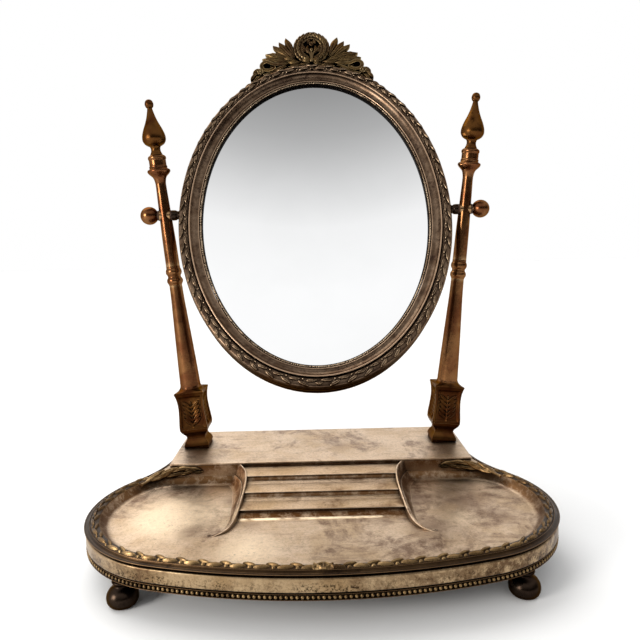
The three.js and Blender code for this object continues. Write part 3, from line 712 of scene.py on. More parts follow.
def dish():
    """The ledge, the cove and the floor, cut from one slab."""
    edge = [(-6.0, FLOOR_BOTTOM), (-4.7, FLOOR_BOTTOM + 1), (-4.7, LEDGE_TOP - 0.5), (-5.1, LEDGE_TOP)]
    slab = Shape().skin([level(offset_plan(OUTLINE, u), z) for u, z in edge])
    depth = LEDGE_TOP - FLOOR_TOP - 0.4
    levels = [(-0.7, LEDGE_TOP + 20), (-0.7, LEDGE_TOP + 0.01), (-0.3, LEDGE_TOP - 0.1)]
    levels += [(COVE_WIDTH * t, FLOOR_TOP + depth * (1 - t) ** 2.2) for t in np.linspace(0, 1, 10)]
    well = Shape().skin([level(full_well(WELL_INSET + u), z) for u, z in levels])
    inside, front, back = PLATFORM_HALF - SHEET, PLATFORM_FRONT + SHEET, PLATFORM_BACK - SHEET
    corners = [(-inside, front), (inside, front), (inside, back), (-inside, back)]
    hollow = Shape().skin([level(corners, z) for z in (0, 80)])
    obj = raw(slab, "dish")
    cut_away(obj, [raw(well, "well"), raw(hollow, "hollow")])
    finish_piece(obj, "base", PLATE, ("tray_border", "floor_plate"), 28)


def rounded_plan(inset):
    """The platform's rectangle in plan with round corners, drawn in by inset."""
    r = max(CORNER - inset, 0.3)
    x = PLATFORM_HALF - inset - r
    front, back = PLATFORM_FRONT + inset + r, PLATFORM_BACK - inset - r
    points = []
    for cx, cy, start in ((x, front, -90), (x, back, 0), (-x, back, 90), (-x, front, 180)):
        t = np.radians(np.linspace(start, start + 90, 7))
        points.append(np.stack([cx + r * np.cos(t), cy + r * np.sin(t)], 1))
    return np.vstack(points)


def platform():
    """The raised sheet between the posts, turned down all round, with a small lip."""
    top = PLATFORM_TOP
    levels = [(SHEET, top - SHEET), (SHEET, FLOOR_BOTTOM), (0, FLOOR_BOTTOM), (0.4, top - 2.6),
              (0.5, top - 2.2), (0.1, top - 1.9), (-0.1, top - 1.3), (0.1, top - 0.6), (0.6, top - 0.15),
              (1.4, top), (4, top), (9, top)]
    rings = [level(rounded_plan(inset), z) for inset, z in levels]
    tray_piece(Shape().skin(rings), "platform_sheet", PLATE, ("platform",), 28)


# The ridge beside the steps, on the right: x, y and height of its crest
RIDGE = [(83, 187.6, 57.4), (80, 182, 57.3), (76.4, 174, 57), (73.8, 164, 56), (72.8, 150, 54),
         (73, 136, 51.4), (74, 122, 48.4), (75, 108, 45.8), (76.6, 95, 43.4), (80, 84, 41.4),
         (85.5, 77, 40), (95, 71.6, 38.1)]
STEP_TOPS = (55.0, 49.5, 44.0)
STEP_FRONTS = (161.0, 135.0, 110.0)
NOSING = [(4, 0), (1.6, 0), (0.5, -0.15), (0, -0.6), (0.2, -1.0), (0.6, -1.4), (0.6, -1.9), (0.2, -2.7),
          (-0.5, -3.6), (-1.6, -4.4), (-3.0, -5.0), (-4.8, -5.35), (-6.6, -5.5)]
LAST_NOSING = NOSING[:6] + [(0.5, -2.2), (-0.4, -2.8), (-2.0, -3.3), (-4.0, -3.8), (-6.0, -4.4), (-8.4, -5.0),
                            (-10.6, -5.3), (-13, -5.5)]


def ridge_x(y):
    crest = spline(RIDGE, 6)[::-1]
    return np.interp(y, crest[:, 1], crest[:, 0])


def treads():
    shape = Shape()
    for i, (top, front) in enumerate(zip(STEP_TOPS, STEP_FRONTS)):
        rings = []
        for run, drop in (LAST_NOSING if i == len(STEP_TOPS) - 1 else NOSING):
            y = np.linspace(front + run, PLATFORM_FRONT + 1, 26)
            x = ridge_x(y) - 0.6
            across = np.linspace(-x[0], x[0], 34)[1:-1]
            plan_x = np.concatenate([x, -x[::-1], across])
            plan_y = np.concatenate([y, y[::-1], np.full(len(across), y[0])])
            rings.append(level(np.stack([plan_x, plan_y], 1), top + drop))
        shape.skin(rings)
    tray_piece(shape, "tread_sheets", STEP_PLATE, ("steps",), 30)


def ridge(side):
    """The thin raised edge between a well and the steps: a steep face, a fine line and a cove."""
    line = even(spline(RIDGE, 8), 90)
    way = unit(np.gradient(line[:, :2], axis=0))
    out = np.stack([-way[:, 1], way[:, 0]], 1)
    tall = line[:, 2:] - FLOOR_TOP
    step = (LEDGE_TOP - FLOOR_TOP) * np.clip(tall / 15, 0, 1)
    face = 1.3 + 0.27 * np.maximum(tall - step, 0)
    share = np.clip(step / (LEDGE_TOP - FLOOR_TOP), 0.12, 1)
    foot = face + 1.3
    rows = [(-1.0, -1), (-0.9, tall - 0.2), (-0.5, tall + 0.1), (0, tall + 0.2), (0.5, tall),
            (0.9, tall - 0.4), (1.3, tall - share), (face * 0.55 + 0.6, step + 0.45 * (tall - step)),
            (face, step + 0.2), (face + 0.3, step + 0.5 * share), (face + 0.9, step + 0.45 * share),
            (foot, step)]
    rows += [(foot + 8.2 * share * t, step * (1 - t) ** 2) for t in (0.15, 0.3, 0.5, 0.75, 1.0)]
    rows += [(foot + 8.2 * share, -1)]
    u, height = (np.hstack([row[i] + 0 * tall for row in rows]) for i in (0, 1))
    x = line[:, :1] + out[:, :1] * u
    y = np.minimum(line[:, 1:2] + out[:, 1:] * u, PLATFORM_FRONT + 0.4)
    rings = np.stack([side * x, y, FLOOR_TOP + height], -1)
    return Shape().skin(rings)


def ridges():
    for name, side in SIDES:
        tray_piece(ridge(side), f"well_ridge_{name}", RIDGE_PLATE, (), 45)


def rim():
    """The dark hollow moulding outside the leaf band, with a thin bead along its foot."""
    section = [(-4.6, 46.6), (-4.3, 46.75), (-4.0, 46.3), (-3.7, 45.6), (-3.1, 45.1), (-2.2, 44.8),
                        (-1.2, 44.8), (-0.8, 45.0), (-0.45, 45.2), (-0.1, 45.1), (0, 44.8), (-0.25, 44.5),
                        (-1.4, 44.3), (-2.6, 43.9), (-3.2, 43.3), (-4.6, 43.1)]
    moulding("hollow_moulding", section, COVE_PLATE, "rim_moulding", 50)


def band():
    foot, top = BAND_BOTTOM, BAND_TOP
    section = [(-2.2, foot), (-1.5, foot + 0.25), (-0.9, foot + 0.8), (-0.8, foot + 1.4), (-0.95, foot + 4),
               (-0.95, top - 4), (-0.8, top - 1.8), (-0.9, top - 1.2), (-1.4, top - 0.6), (-2.6, top - 0.15),
               (-4.4, top), (-4.4, top - 1.2), (-3.2, top - 1.2), (-2.9, foot)]
    moulding("plain_band", section, BAND_PLATE, "side_band", 40)


def beads():
    """The row of small beads along the bottom edge, in a dark channel."""
    foot, top = BEAD_BOTTOM, BEAD_TOP
    section = [(-3.2, foot), (-1.2, foot), (-0.8, foot + 0.3), (-1.1, foot + 0.7), (-2.4, foot + 1.1),
               (-2.6, top - 1.3), (-1.5, top - 0.8), (-1.2, top - 0.5), (-1.4, top - 0.2), (-2.2, top),
               (-3.2, top)]
    moulding("bead_channel", section, COVE_PLATE, "bead_border", 60)
    shape = Shape()
    spots, _ = walk(OUTLINE, -2.0, BEAD_PITCH)
    for x, y, _, _ in spots:
        shape.ball((x, y, foot + 2.3), (1.45, 1.45, 1.7), 7, 10)
    tray_piece(shape, "bead_row", BEAD_PLATE, (), 60)


def almond(s, w, pitch, along, across, length, width, turn):
    """Heights, 0 to 1, of one pointed leaf every pitch, turned within its band."""
    ds = ((s - along) / pitch + 0.5) % 1.0 * pitch - pitch / 2
    dw = w - across
    c, n = math.cos(turn), math.sin(turn)
    a = (ds * c + dw * n) / length
    lens = np.maximum(1 - a * a, 0) ** 0.8
    b = (dw * c - ds * n) / width / np.maximum(lens, 0.03)
    rib = 0.28 * np.exp(-(b / 0.2) ** 2)
    return np.clip(1 - b * b, 0, 1) ** 0.6 * (0.5 + 0.5 * lens) * (1 - rib) * (lens > 0)


def laurel(s, w, pitch, half):
    """Pairs of laurel leaves slanting out along a band, with a berry between pairs."""
    upper = almond(s, w, pitch, 0.1 * pitch, 0.42 * half, 0.36 * pitch, 0.4 * half, 0.34)
    lower = almond(s, w, pitch, 0.56 * pitch, -0.34 * half, 0.36 * pitch, 0.42 * half, -0.12)
    berry = almond(s, w, pitch, 0.06 * pitch, -0.5 * half, 0.1 * pitch, 0.24 * half, 0.0)
    return np.maximum(np.maximum(upper, lower), 0.8 * berry)


def leaf_band():
    """Laurel along the rim from the middle tie to the shoulders."""
    half = half_well(WELL_INSET)
    half = half[half[:, 1] < PLATFORM_FRONT - 1.5]
    path = np.vstack([mirrored(half)[:-1], half])
    rows, gone = walk(path, 0, 0.6, closed=False)
    s = np.abs(gone - gone[-1] / 2)[:, None]
    v = np.linspace(1, -1, 23)[None]
    half_width = 4.0
    relief = laurel(s, -v * half_width, 17.4, half_width)
    tie = np.clip(1 - ((s / 7.5) ** 4), 0, 1)
    cross = 0.9 * np.exp(-(s / 1.3) ** 2)
    for slant in (-0.9, 0.9):
        cross = np.maximum(cross, np.exp(-((s / 5 - 1 + v * slant) / 0.28) ** 2))
    relief = np.where(tie > 0.02, np.maximum(cross, 0.25), relief)
    crown = (1 - v ** 2) ** 0.5
    fade = 0.4 + 0.6 * np.clip((gone[:, None].max() / 2 - s) / 14, 0, 1)
    for name, lift, look, nodes in (("laurel_ground", 0.1 + 0 * relief, COVE_PLATE, ("rim_leaf_band",)),
                                    ("laurel_leaves", 2.9 * relief - 0.5, RIM_PLATE, ())):
        z = 45.8 + crown + lift
        z[:, 0] = z[:, -1] = 45.6
        u = np.broadcast_to(3.9 + half_width * v, z.shape)
        section = np.stack([u, 45.6 + (z - 45.6) * fade], -1)
        tray_piece(Shape().skin(sweep(rows, section)), name, look, nodes, 75)


# Lobes of the long shoulder leaf, on the right: root, middle, tip, half width
SHOULDER = [((174, 168, 48), (168, 177, 50.5), (158, 183, 54.5), 3.0),
            ((170, 172, 47.6), (161, 180, 49.4), (149, 184, 52.4), 3.0),
            ((166, 177, 49), (156, 182.5, 53), (143.5, 184.6, 56.4), 3.0),
            ((160, 181, 48), (149, 184, 49), (136, 184.8, 51.4), 2.8),
            ((154, 183, 51.5), (143, 184.4, 54.6), (131, 184.8, 56), 2.8),
            ((146, 184, 49), (137, 184.6, 50.2), (126.5, 185, 53.4), 2.6),
            ((138, 184.6, 53), (130, 184.8, 54.6), (121.5, 185, 53), 2.4),
            ((131, 184.8, 51), (125, 185, 50.4), (119.5, 185, 51.6), 1.9)]


def shoulder_leaf(name, side):
    shape = Shape()
    for i, (root, mid, tip, width) in enumerate(SHOULDER):
        path = np.array([root, mid, tip]) * (side, 1, 1)
        lean = (0.25 * side, -0.8, 0.75) if i < 3 else (0, -1, 0.25)
        shape.leaf(path - np.array(lean) * 0.3, lean, width, 1.9, 3, 1.2, 0.8)
    stem = spline([(176, 163, 47.6), (168, 175, 48.6), (154, 183, 51), (140, 184.8, 53),
                   (126, 185.2, 52.6)], 8)
    shape.tube(stem * (side, 1, 1), np.linspace(1.5, 0.7, len(stem)))
    tray_piece(shape, f"acanthus_{name}", RIM_PLATE, (f"shoulder_leaf_{name}",), 60)


FOOT_PROFILE = [(4.8, 4.6), (4.8, 4.6), (4.8, 0.6), (5.4, 0), (5.4, 0), (8, 0), (8, 0), (10.3, 1.2),
                (12, 3.8), (12.5, 7), (11.9, 10.4), (9.8, 13.8), (7, 16), (6, 17.4), (6.6, 19), (7.6, 19.8),
                (7.6, 20.8), (6.6, 21.6), (6.6, 21.6)]


def feet():
    profile = np.vstack([[0, 4.6], spline(FOOT_PROFILE, 5), [6.6, FOOT_TOP], [0, FOOT_TOP]])
    for name, _ in SIDES:
        for end in ("front", "rear"):
            node = f"foot_{end}_{name}"
            spot = middle(node) * (1, 1, 0)
            Shape().lathe(profile, 40).build(
                f"bun_{end}_{name}", lambda p, spot=spot: p + spot, "base", "dark_bronze", FOOT_BRONZE,
                (node,), 35)


def base():
    dish()
    platform()
    treads()
    ridges()
    rim()
    band()
    beads()
    leaf_band()
    for name, side in SIDES:
        shoulder_leaf(name, side)
    feet()


# ---------------------------------------------------------------- posts

SOCKET = [(12.6, -1.4), (12.6, 1.2), (12.6, 1.2), (13.2, 2.2), (13.3, 3.6), (12.9, 5.4), (11.9, 7.6),
          (10.9, 9.2), (10.1, 10.6), (10.1, 10.6), (9.9, 12.6), (10.6, 14.4), (10.6, 14.4), (12, 16.4),
          (13.8, 18.8), (15, 21.8), (15, 21.8), (15, 26), (14.2, 36), (13.6, 46), (14, 54), (15, 59.4),
          (15.8, 62), (15.8, 62), (15.7, 62.9), (15.2, 63.4), (14, 64.2), (12.6, 65.2), (11.4, 66.2)]
LOWER_SHAFT = [(11.6, 65.6), (11.6, 66.6), (11.1, 67.6), (10.9, 70), (10.1, 92), (9.3, 112), (8.4, 132),
               (7.7, 148), (7.1, 161), (6.7, 178.8)]
COLLAR = [(6.2, 178.8), (6.9, 178.9), (7.2, 180), (8, 181.4), (8.4, 183.4), (8, 185.4), (7, 186.8),
          (6.8, 188), (7, 189.2), (8, 190.8), (8.4, 193), (8, 195.2), (7.3, 196.8), (7.2, 199.1),
          (6.2, 199.2)]
UPPER_SHAFT = [(7.2, 199.2), (6.9, 227), (6.3, 250), (5.8, 268), (5.4, 283), (5.7, 288), (7, 292.4),
               (10, 295.6), (11.4, 297.4), (11.8, 298.6), (11.4, 299.9), (9.8, 300.8), (9, 302), (9, 302),
               (9.3, 302.6), (9.2, 303.6), (8.7, 304.2), (8.7, 304.2), (8.7, 310.4), (8.7, 310.4),
               (9.2, 311), (9.3, 312.4), (8.9, 313.6), (7.4, 314.8)]
FINIAL = [(6.6, 314.8), (6.2, 316), (5.1, 318.6), (4.8, 321), (5.3, 323.4), (6.6, 324.6), (6.6, 324.6),
          (8, 325.2), (10.2, 327), (11.7, 329.8), (12, 332.6), (11.4, 336.4), (9.6, 341.6), (7, 347.4),
          (4.9, 353), (3.4, 358.4), (2.7, 361.6), (2.6, 362.8), (2.6, 362.8), (3.6, 363.6), (4.4, 365.8),
          (4.3, 367.8), (3.4, 370), (1.8, 371.2), (0, 371.5)]


def sprig(x, y):
    """Relief of a stem with pairs of leaflets, on a panel with y up from its foot."""
    stem = np.exp(-(x / 0.7) ** 2) * (y < 27)
    relief = 0.8 * stem
    for root in np.arange(1.0, 24, 4.6):
        slope = math.radians(42)
        along = (np.abs(x) * math.cos(slope) + (y - root) * math.sin(slope)) / 12.5
        across = (np.abs(x) * math.sin(slope) - (y - root) * math.cos(slope)) / 2.1
        width = np.maximum(np.sin(np.pi * np.clip(along, 0, 1)) ** 0.7, 0.02)
        blade = np.clip(1 - (across / width) ** 2, 0, 1) ** 0.5 * ((along > 0) & (along < 1))
        relief = np.maximum(relief, blade * (1 - 0.35 * np.exp(-(across / 0.3) ** 2)))
    return relief


def socket(name, side):
    profile = np.array(spline(SOCKET, 5))
    fine = []
    for a, b in zip(profile, profile[1:]):
        count = max(1, int(np.linalg.norm(b - a) / 0.5))
        fine.append(a + (b - a) * np.linspace(0, 1, count, endpoint=False)[:, None])
    rows = np.vstack([*fine, profile[-1:]])
    half, height = rows[:, :1], rows[:, 1:]
    u = np.linspace(-1, 1, 61)[None, :-1]
    dish_depth = np.interp(height, [5, 9, 14, 20, 30, 50, 61, 64], [0, 0, 0, 0.5, 0.9, 1.0, 1.9, 1.4])
    depth = half - dish_depth * (1 - u ** 2)
    x = u * half
    frame_x = np.clip((12 * half / 14 - np.abs(x)) / 1.6, 0, 1)
    frame_y = np.clip((np.minimum(height - 23.6, 58.4 - height)) / 1.6, 0, 1)
    panel = np.minimum(frame_x, frame_y)
    panel = panel * panel * (3 - 2 * panel)
    depth = depth + panel * (-1.4 + 1.6 * sprig(x, height - 25.5))
    angle = np.arctan(u)
    roof = np.clip((height - 63.4) / 2.6, 0, 1)
    round_out, round_side = half * np.cos(angle), half * np.sin(angle)
    out = depth * (1 - roof) + round_out * roof
    along = x * (1 - roof) + round_side * roof
    sides = []
    for turn in range(4):
        c, s = math.cos(turn * math.pi / 2), math.sin(turn * math.pi / 2)
        sides.append(np.stack([out * c - along * s, out * s + along * c, height + 0 * u], -1))
    Shape().skin(np.concatenate(sides, 1)).build(
        f"socket_{name}", on_post(side), "base", "bronze", SOCKET_BRONZE, (f"post_socket_{name}",), 38,
        floor=PLATFORM_TOP + 0.02)


def turned(profile):
    """A smoothed profile, closed onto the axis at both ends."""
    rows = spline(profile, 5)
    return np.vstack([[0, rows[0, 1]], rows, [0, rows[-1, 1]]])


def posts():
    for name, side in SIDES:
        socket(name, side)
        for piece, profile, node, look in (("lower_shaft", LOWER_SHAFT, "post_lower", POST_BRONZE),
                                           ("double_ring", COLLAR, "post_collar", POST_BRONZE),
                                           ("finial", FINIAL, "post_finial", SOCKET_BRONZE),
                                           ("upper_shaft", UPPER_SHAFT, "post_upper", POST_BRONZE)):
            Shape().lathe(turned(profile), 56).build(
                f"{piece}_{name}", on_post(side), "base", "bronze", look, (f"{node}_{name}",), 35)
        inner = abs(middle(f"inner_washer_{name}")[0]) + 0.8
        outer = abs(middle(f"outer_washer_{name}")[0]) - 0.8
        seat = [(0, inner), (5.4, inner), (5.8, inner + 0.4), (5.8, outer - 0.4), (5.4, outer), (0, outer)]
        Shape().lathe(seat, 40).build(
            f"pivot_seat_{name}", on_pivot(side), "base", "bronze", POST_BRONZE, (), 35)


# ---------------------------------------------------------------- mirror

def oval_piece(name, at, way, section, look, nodes, sharp):
    Shape().skin(oval_sweep(at, way, section), closed=True).build(
        name, on_mirror, "mirror", "frame_plate", look, nodes, sharp)


def frame_ring():
    """The cast oval frame: smooth cove, groove, laurel band and a twice ridged side."""
    pitch = 16.4
    _, _, _, around = oval(64, 18.5)
    leaves = round(around / pitch / 2) * 2
    at, way, gone, around = oval(leaves * 26, 18.5)
    s = np.minimum(gone, around - gone)[:, None] * leaves / around * pitch
    v = np.linspace(-1, 1, 21)[None]
    half_width = 4.6
    relief = laurel(s, v * half_width, pitch, half_width)
    leaf_u = 18.9 + half_width * v
    ground = 5.9 + 1.3 * (1 - v ** 2) ** 0.5 + 0 * relief
    leaf_n = ground - 0.5 + 3.2 * relief
    leaf_n[:, 0] = leaf_n[:, -1] = 5.2
    cove = [(3.3, 1.6), (3.7, 2.3), (4.3, 2.4), (5.2, 2.0), (6.8, 2.0), (8.6, 2.9), (10.2, 4.2), (11.3, 5.8),
            (11.7, 7.0), (12.2, 7.6), (13.0, 7.7), (13.5, 7.2), (13.7, 6.2), (13.8, 5.2), (14.2, 5.1)]
    wall = [(23.6, 5.2), (23.5, 4.7), (24.2, 4), (24.5, 3), (24.1, 1.8), (23.1, 1), (22.9, 0.2), (23.1, -0.8),
            (24, -1.8), (24.4, -3.2), (24, -4.6), (23.2, -5.6), (22.9, -6.4), (22.9, -10.6), (23.3, -11.2),
            (23.9, -12), (24, -14.6), (23.6, -15.6), (23, -15.8), (20.8, -15.8), (20.8, 4.4), (18.5, 5.4),
            (14, 3.6), (8, 1.2), (5.2, -1.9), (3.3, -1.9)]
    count = len(at)
    section = np.concatenate([
        np.broadcast_to(cove, (count, len(cove), 2)),
        np.stack([np.broadcast_to(leaf_u, relief.shape), ground], -1),
        np.broadcast_to(wall, (count, len(wall), 2)),
    ], 1)
    oval_piece("oval_frame", at, way, section, FRAME_PLATE, ("mirror_frame",), 55)
    leaves = np.stack([np.broadcast_to(leaf_u, relief.shape), leaf_n], -1)
    oval_piece("frame_laurel", at, way, leaves, LAUREL_PLATE, (), 75)


def bezel():
    """Bead and reel moulding round the glass, with a near-black lip inside it as painted shade."""
    pitch = 18.0
    _, _, _, around = oval(64, 1.7)
    repeats = round(around / pitch)
    at, way, gone, around = oval(repeats * 44, 1.7)
    p = gone * repeats / around % 1.0 * pitch
    reel = np.clip(1 - (np.abs(p - 5.2) / 4.6) ** 8, 0, 1) ** 0.5 * 0.9
    beads = np.clip(1 - (((p - 10.3) / 1.925 % 1.0 - 0.5) / 0.42) ** 2, 0, 1) ** 0.5 * (p > 10.3)
    size = (0.3 + 0.7 * np.maximum(reel, beads))[:, None]
    t = np.linspace(0, np.pi, 9)[None]
    u = 2.0 - 1.15 * np.cos(t) * (0.5 + 0.5 * size)
    n = 0.4 + 1.7 * np.sin(t) * size
    foot = [(3.1, 0.2), (3.1, -1.9), (1.1, -1.9), (1.1, 0.2)]
    section = np.concatenate([np.stack([u, n], -1), np.broadcast_to(foot, (len(at), 4, 2))], 1)
    oval_piece("bead_and_reel", at, way, section, BEZEL_PLATE, ("sight_bezel",), 70)
    at, way, _, _ = oval(220, 0.5)
    lip = [(0, -1.9), (0, -0.3), (0.2, 0.2), (0.6, 0.4), (0.9, 0.2), (0.9, -1.9)]
    oval_piece("shaded_sight_lip", at, way, lip, LIP_SHADE, (), 40)


def back_board():
    """A thin walnut oval with a chamfered edge, held by slotted screws."""
    at, way, _, _ = oval(220, 20)
    low_n, high_n = -10.2, -7.6
    edge = ((20.3, high_n), (20.3, low_n + 0.9), (19.5, low_n + 0.1), (18.9, low_n))
    rings = [level(at + way * u, n) for u, n in edge]
    Shape().skin(rings).build("oval_board", on_mirror, "mirror", "board", BOARD, ("back_board",), 30)


def screw_head(shape, radius, rise):
    """A domed head with a slot: two half domes either side of a channel."""
    t = np.linspace(0, np.pi / 2, 6)
    slot = radius * 0.16
    dome = [(radius * math.cos(a) ** 0.6, rise * (0.35 + 0.65 * math.sin(a))) for a in t]
    edge = math.asin(slot / radius)
    turn = np.linspace(edge, np.pi - edge, 15)
    for way in (1, -1):
        rings = []
        for r, z in [(radius, 0), *dome]:
            x, y = r * np.cos(turn), np.maximum(r * np.sin(turn), slot)
            rings.append(level(np.stack([x, way * y], 1), z))
        shape.skin(rings)
    shape.lathe([(0, -1.2), (radius * 0.94, -1.2), (radius * 0.94, rise * 0.3), (0, rise * 0.3)], 24)
    return shape


def screws():
    for i in range(1, 7):
        node = f"back_screw_{i}"
        spot = middle(node)
        turn = 0.7 * i

        def place(points, spot=spot, turn=turn):
            x, y, z = points.T
            c, s = math.cos(turn), math.sin(turn)
            local = np.stack([x * c - y * s, x * s + y * c, -z], 1)
            head = on_mirror(local) - PIVOT
            return head + spot + on_mirror(np.array([[0, 0, -4.5]]))[0] - PIVOT
        screw_head(Shape(), 3, 1.7).build(f"slotted_screw_{i}", place, "mirror", "steel", STEEL, (node,), 40)


# ---------------------------------------------------------------- crest

RING_CENTRE = np.array([0, 220.5])
RING_SIZE = np.array([15.8, 18.2])
OUT = (0, 0, 1)


def ring_point(angle, offset=0.0):
    way = np.array([math.cos(angle), math.sin(angle)])
    return RING_CENTRE + (RING_SIZE + offset) * way


def scaled_rings(ring, centre, levels):
    """Copies of a flat ring about its centre; the levels are (share of its size, height)."""
    return [level(centre + (ring - centre) * share, n) for share, n in levels]


def wreath(shape):
    turn = np.linspace(0, 2 * np.pi, 60, endpoint=False)
    path = np.array([[*ring_point(t), 0.6] for t in turn])
    radial = np.column_stack([np.cos(turn), np.sin(turn), 0 * turn])
    t = np.linspace(0, 2 * np.pi, 12, endpoint=False)[None, :, None]
    tube = path[:, None] + 3.6 * radial[:, None] * np.cos(t) + 2.9 * np.sin(t) * np.array(OUT)
    shape.skin(tube, closed=True)
    pitch, length = 0.272, 0.44
    rows = ((3.3, 2.2, 0.6, 0), (0.2, 0.3, 2.0, 0.09), (-3.0, -1.8, 0.6, 0))
    for side in (-1, 1):
        for k in range(11):
            for offset, splay, lift, phase in rows:
                start = -math.pi / 2 + side * (0.12 + pitch * k + phase)
                root = ring_point(start, offset * 0.6)
                mid = ring_point(start + side * length / 2, offset)
                tip = ring_point(start + side * length, offset + splay)
                path = [[*root, lift + 0.6], [*mid, lift + 1.4], [*tip, lift + 1.8]]
                shape.leaf(path, OUT, 2.1, 1.5, 0, 1.3, 0.8, 9, 7)


# Leaves among the stems, on the right: root, middle, tip, half width, height, depth behind
STEM_LEAVES = [((1.5, 212, 2), (5, 217.5, 2.8), (4.2, 224.5, 2.2), 2.2, 1.5, 1.6),
               ((5, 216.5, 2), (10, 217.5, 2.4), (14.5, 214.5, 1.6), 2.1, 1.4, 1.6),
               ((7, 219, 2), (10.5, 223.5, 2.4), (13.5, 228, 1.6), 2.1, 1.4, 1.6),
               ((2.5, 236, 1.6), (3.5, 232, 2.6), (4.9, 227.6, 1.8), 2.0, 1.4, 1.8),
               ((8.5, 234.5, 1.6), (9.5, 230.5, 2.6), (10.9, 226.1, 1.8), 2.0, 1.4, 1.8),
               ((-2.5, 232.4, 1.6), (-1.5, 228.4, 2.6), (-0.1, 224, 1.8), 2.0, 1.4, 1.8),
               ((1, 202, 3), (6, 200.2, 3.8), (12.5, 202.5, 2.8), 2.0, 1.6, 2.6),
               ((1, 200, 2.6), (7, 196.6, 3), (14, 197, 2.2), 2.0, 1.6, 2.6)]


def stems(shape):
    """Tied stems in the lower half of the wreath, with a bow under them."""
    for side in (-1, 1):
        curve = spline([(1.2, 200.5, 1.6), (0.7, 207, 2.4), (2.4, 213, 2.6), (6.5, 218.5, 2.2),
                        (12, 221.5, 1.2)], 6)
        shape.tube(curve * (side, 1, 1), np.linspace(1.5, 0.9, len(curve)))
        for *path, width, height, back in STEM_LEAVES:
            shape.leaf(np.array(path) * (side, 1, 1), OUT, width, height, 0, back)
    shape.tube(spline([(0, 199.5, 2), (0, 208, 3), (0, 216.5, 2.6)], 6), 1.1)
    shape.ball((0, 218, 2.4), (2.3, 2.3, 1.9))
    shape.ball((0, 200.6, 3.4), (2.6, 2.4, 2.2))


# Leaves of one spray, on the right: root, middle, tip, half width, lobes
SPRAY = [((20, 208), (25, 221), (30.8, 236.6), 3.9, 0), ((22, 206), (30, 217), (38.6, 230), 3.7, 0),
         ((24, 204.5), (34, 213.5), (45.6, 224.4), 3.9, 0), ((19.5, 206), (26.6, 213), (33.6, 221.6), 3.0, 0),
         ((23, 202.5), (37, 208.6), (54.4, 212), 4.6, 4), ((26, 200.5), (40, 203), (58, 204.6), 4.4, 4),
         ((24, 198.6), (34, 197.6), (46, 199.4), 3.6, 3), ((17, 202), (25, 204), (35.4, 207.4), 3.2, 0),
         ((12, 199.6), (19, 198.2), (28.4, 199.8), 3.0, 0), ((8, 195.6), (17, 194.4), (27, 193.4), 2.8, 0),
         ((61, 185), (66, 181), (71, 174.6), 2.7, 0), ((59, 181), (62.6, 176.6), (67.4, 170.8), 2.5, 0),
         ((57, 189.5), (63.6, 188.4), (68.6, 183), 2.7, 0)]


def spray(shape, side):
    for i, (root, mid, tip, width, lobes) in enumerate(SPRAY):
        lift = 1.0 + 0.5 * (i % 3)
        path = np.array([(*root, lift), (*mid, lift + 1.2), (*tip, lift - 0.2)])
        shape.leaf(path * (side, 1, 1), OUT, width, 2.5, lobes, 2.6, 0.6, 17, 11, 1.35)
    loop = spline([(34, 196.5, 2.4), (44, 196, 3.6), (53, 199.5, 3.8), (58.6, 196, 3), (56.6, 189.6, 2.8),
                   (49.6, 187.4, 3.6), (44, 191, 3.4), (47, 195, 2.6)], 7)
    ribbon(shape, loop * (side, 1, 1), 2.3)
    tail = spline([(30, 195, 2), (38, 190.4, 3.2), (47, 184.4, 2.8), (56, 180.6, 2.6)], 7)
    ribbon(shape, tail * (side, 1, 1), 1.9)
    rosette = np.array([59.6, 186.6])
    for k in range(7):
        a = 2 * math.pi * k / 7
        way = np.array([math.cos(a), math.sin(a)])
        path = [(*(rosette + way), 2.6), (*(rosette + 3 * way), 3.4), (*(rosette + 5.4 * way), 2.2)]
        shape.leaf(np.array(path) * (side, 1, 1), OUT, 1.9, 1.2, 0, 2.2, 0, 8, 7)
    shape.ball((side * rosette[0], rosette[1], 3.2), (1.9, 1.9, 1.7))


def ribbon(shape, path, half):
    """A flat band along a path, with a hollow middle and rounded edges."""
    across = unit(np.cross(OUT, unit(np.gradient(path, axis=0))))
    section = half * np.array([(-1, 0), (-0.85, 0.4), (-0.5, 0.3), (0, 0.12), (0.5, 0.3), (0.85, 0.4), (1, 0),
                               (0.8, -0.7), (-0.8, -0.7)])
    shape.skin(path[:, None] + across[:, None] * section[None, :, :1] + np.array(OUT) * section[None, :, 1:])


# Outline of the plate behind one spray, on the right
SPRAY_PLATE = np.array([(-0.4, 190.6), (-0.4, 203), (10, 204), (12, 213), (18, 217), (24, 215), (38, 208),
                        (52, 206), (59, 199), (60, 190), (63, 180), (65, 172.4), (50, 180), (34, 186.5),
                        (17, 189.8)])


def seat_strip(shape):
    """The strip of small leaves along the top of the frame, and the plates behind the sprays."""
    place, way = sight_edge(np.linspace(-0.52, 0.52, 60))
    inner, outer, back, front = FRAME_WIDTH + 0.5, FRAME_WIDTH + 4.6, -2.4, 1.6
    shape.skin(oval_sweep(place, way, [(inner, back), (outer, back), (outer, front), (inner, front)]))
    for side in (-1, 1):
        for k in range(9):
            place, way = sight_edge(side * (0.02 + 0.056 * k + np.array([0, 0.035, 0.075])))
            points = np.column_stack([place + way * (FRAME_WIDTH + 2.4), (1.2, 2.4, 1.6)])
            shape.leaf(points, OUT, 2.3, 1.7, 0, 1.2, 0.3, 9, 7)
        shape.skin(scaled_rings(SPRAY_PLATE * (side, 1), SPRAY_PLATE.mean(0) * (side, 1), (
            (0.4, -2.4), (0.75, -2.4), (0.95, -2.4), (1, -2.2), (1, -0.6), (0.95, -0.4), (0.7, -0.4))))


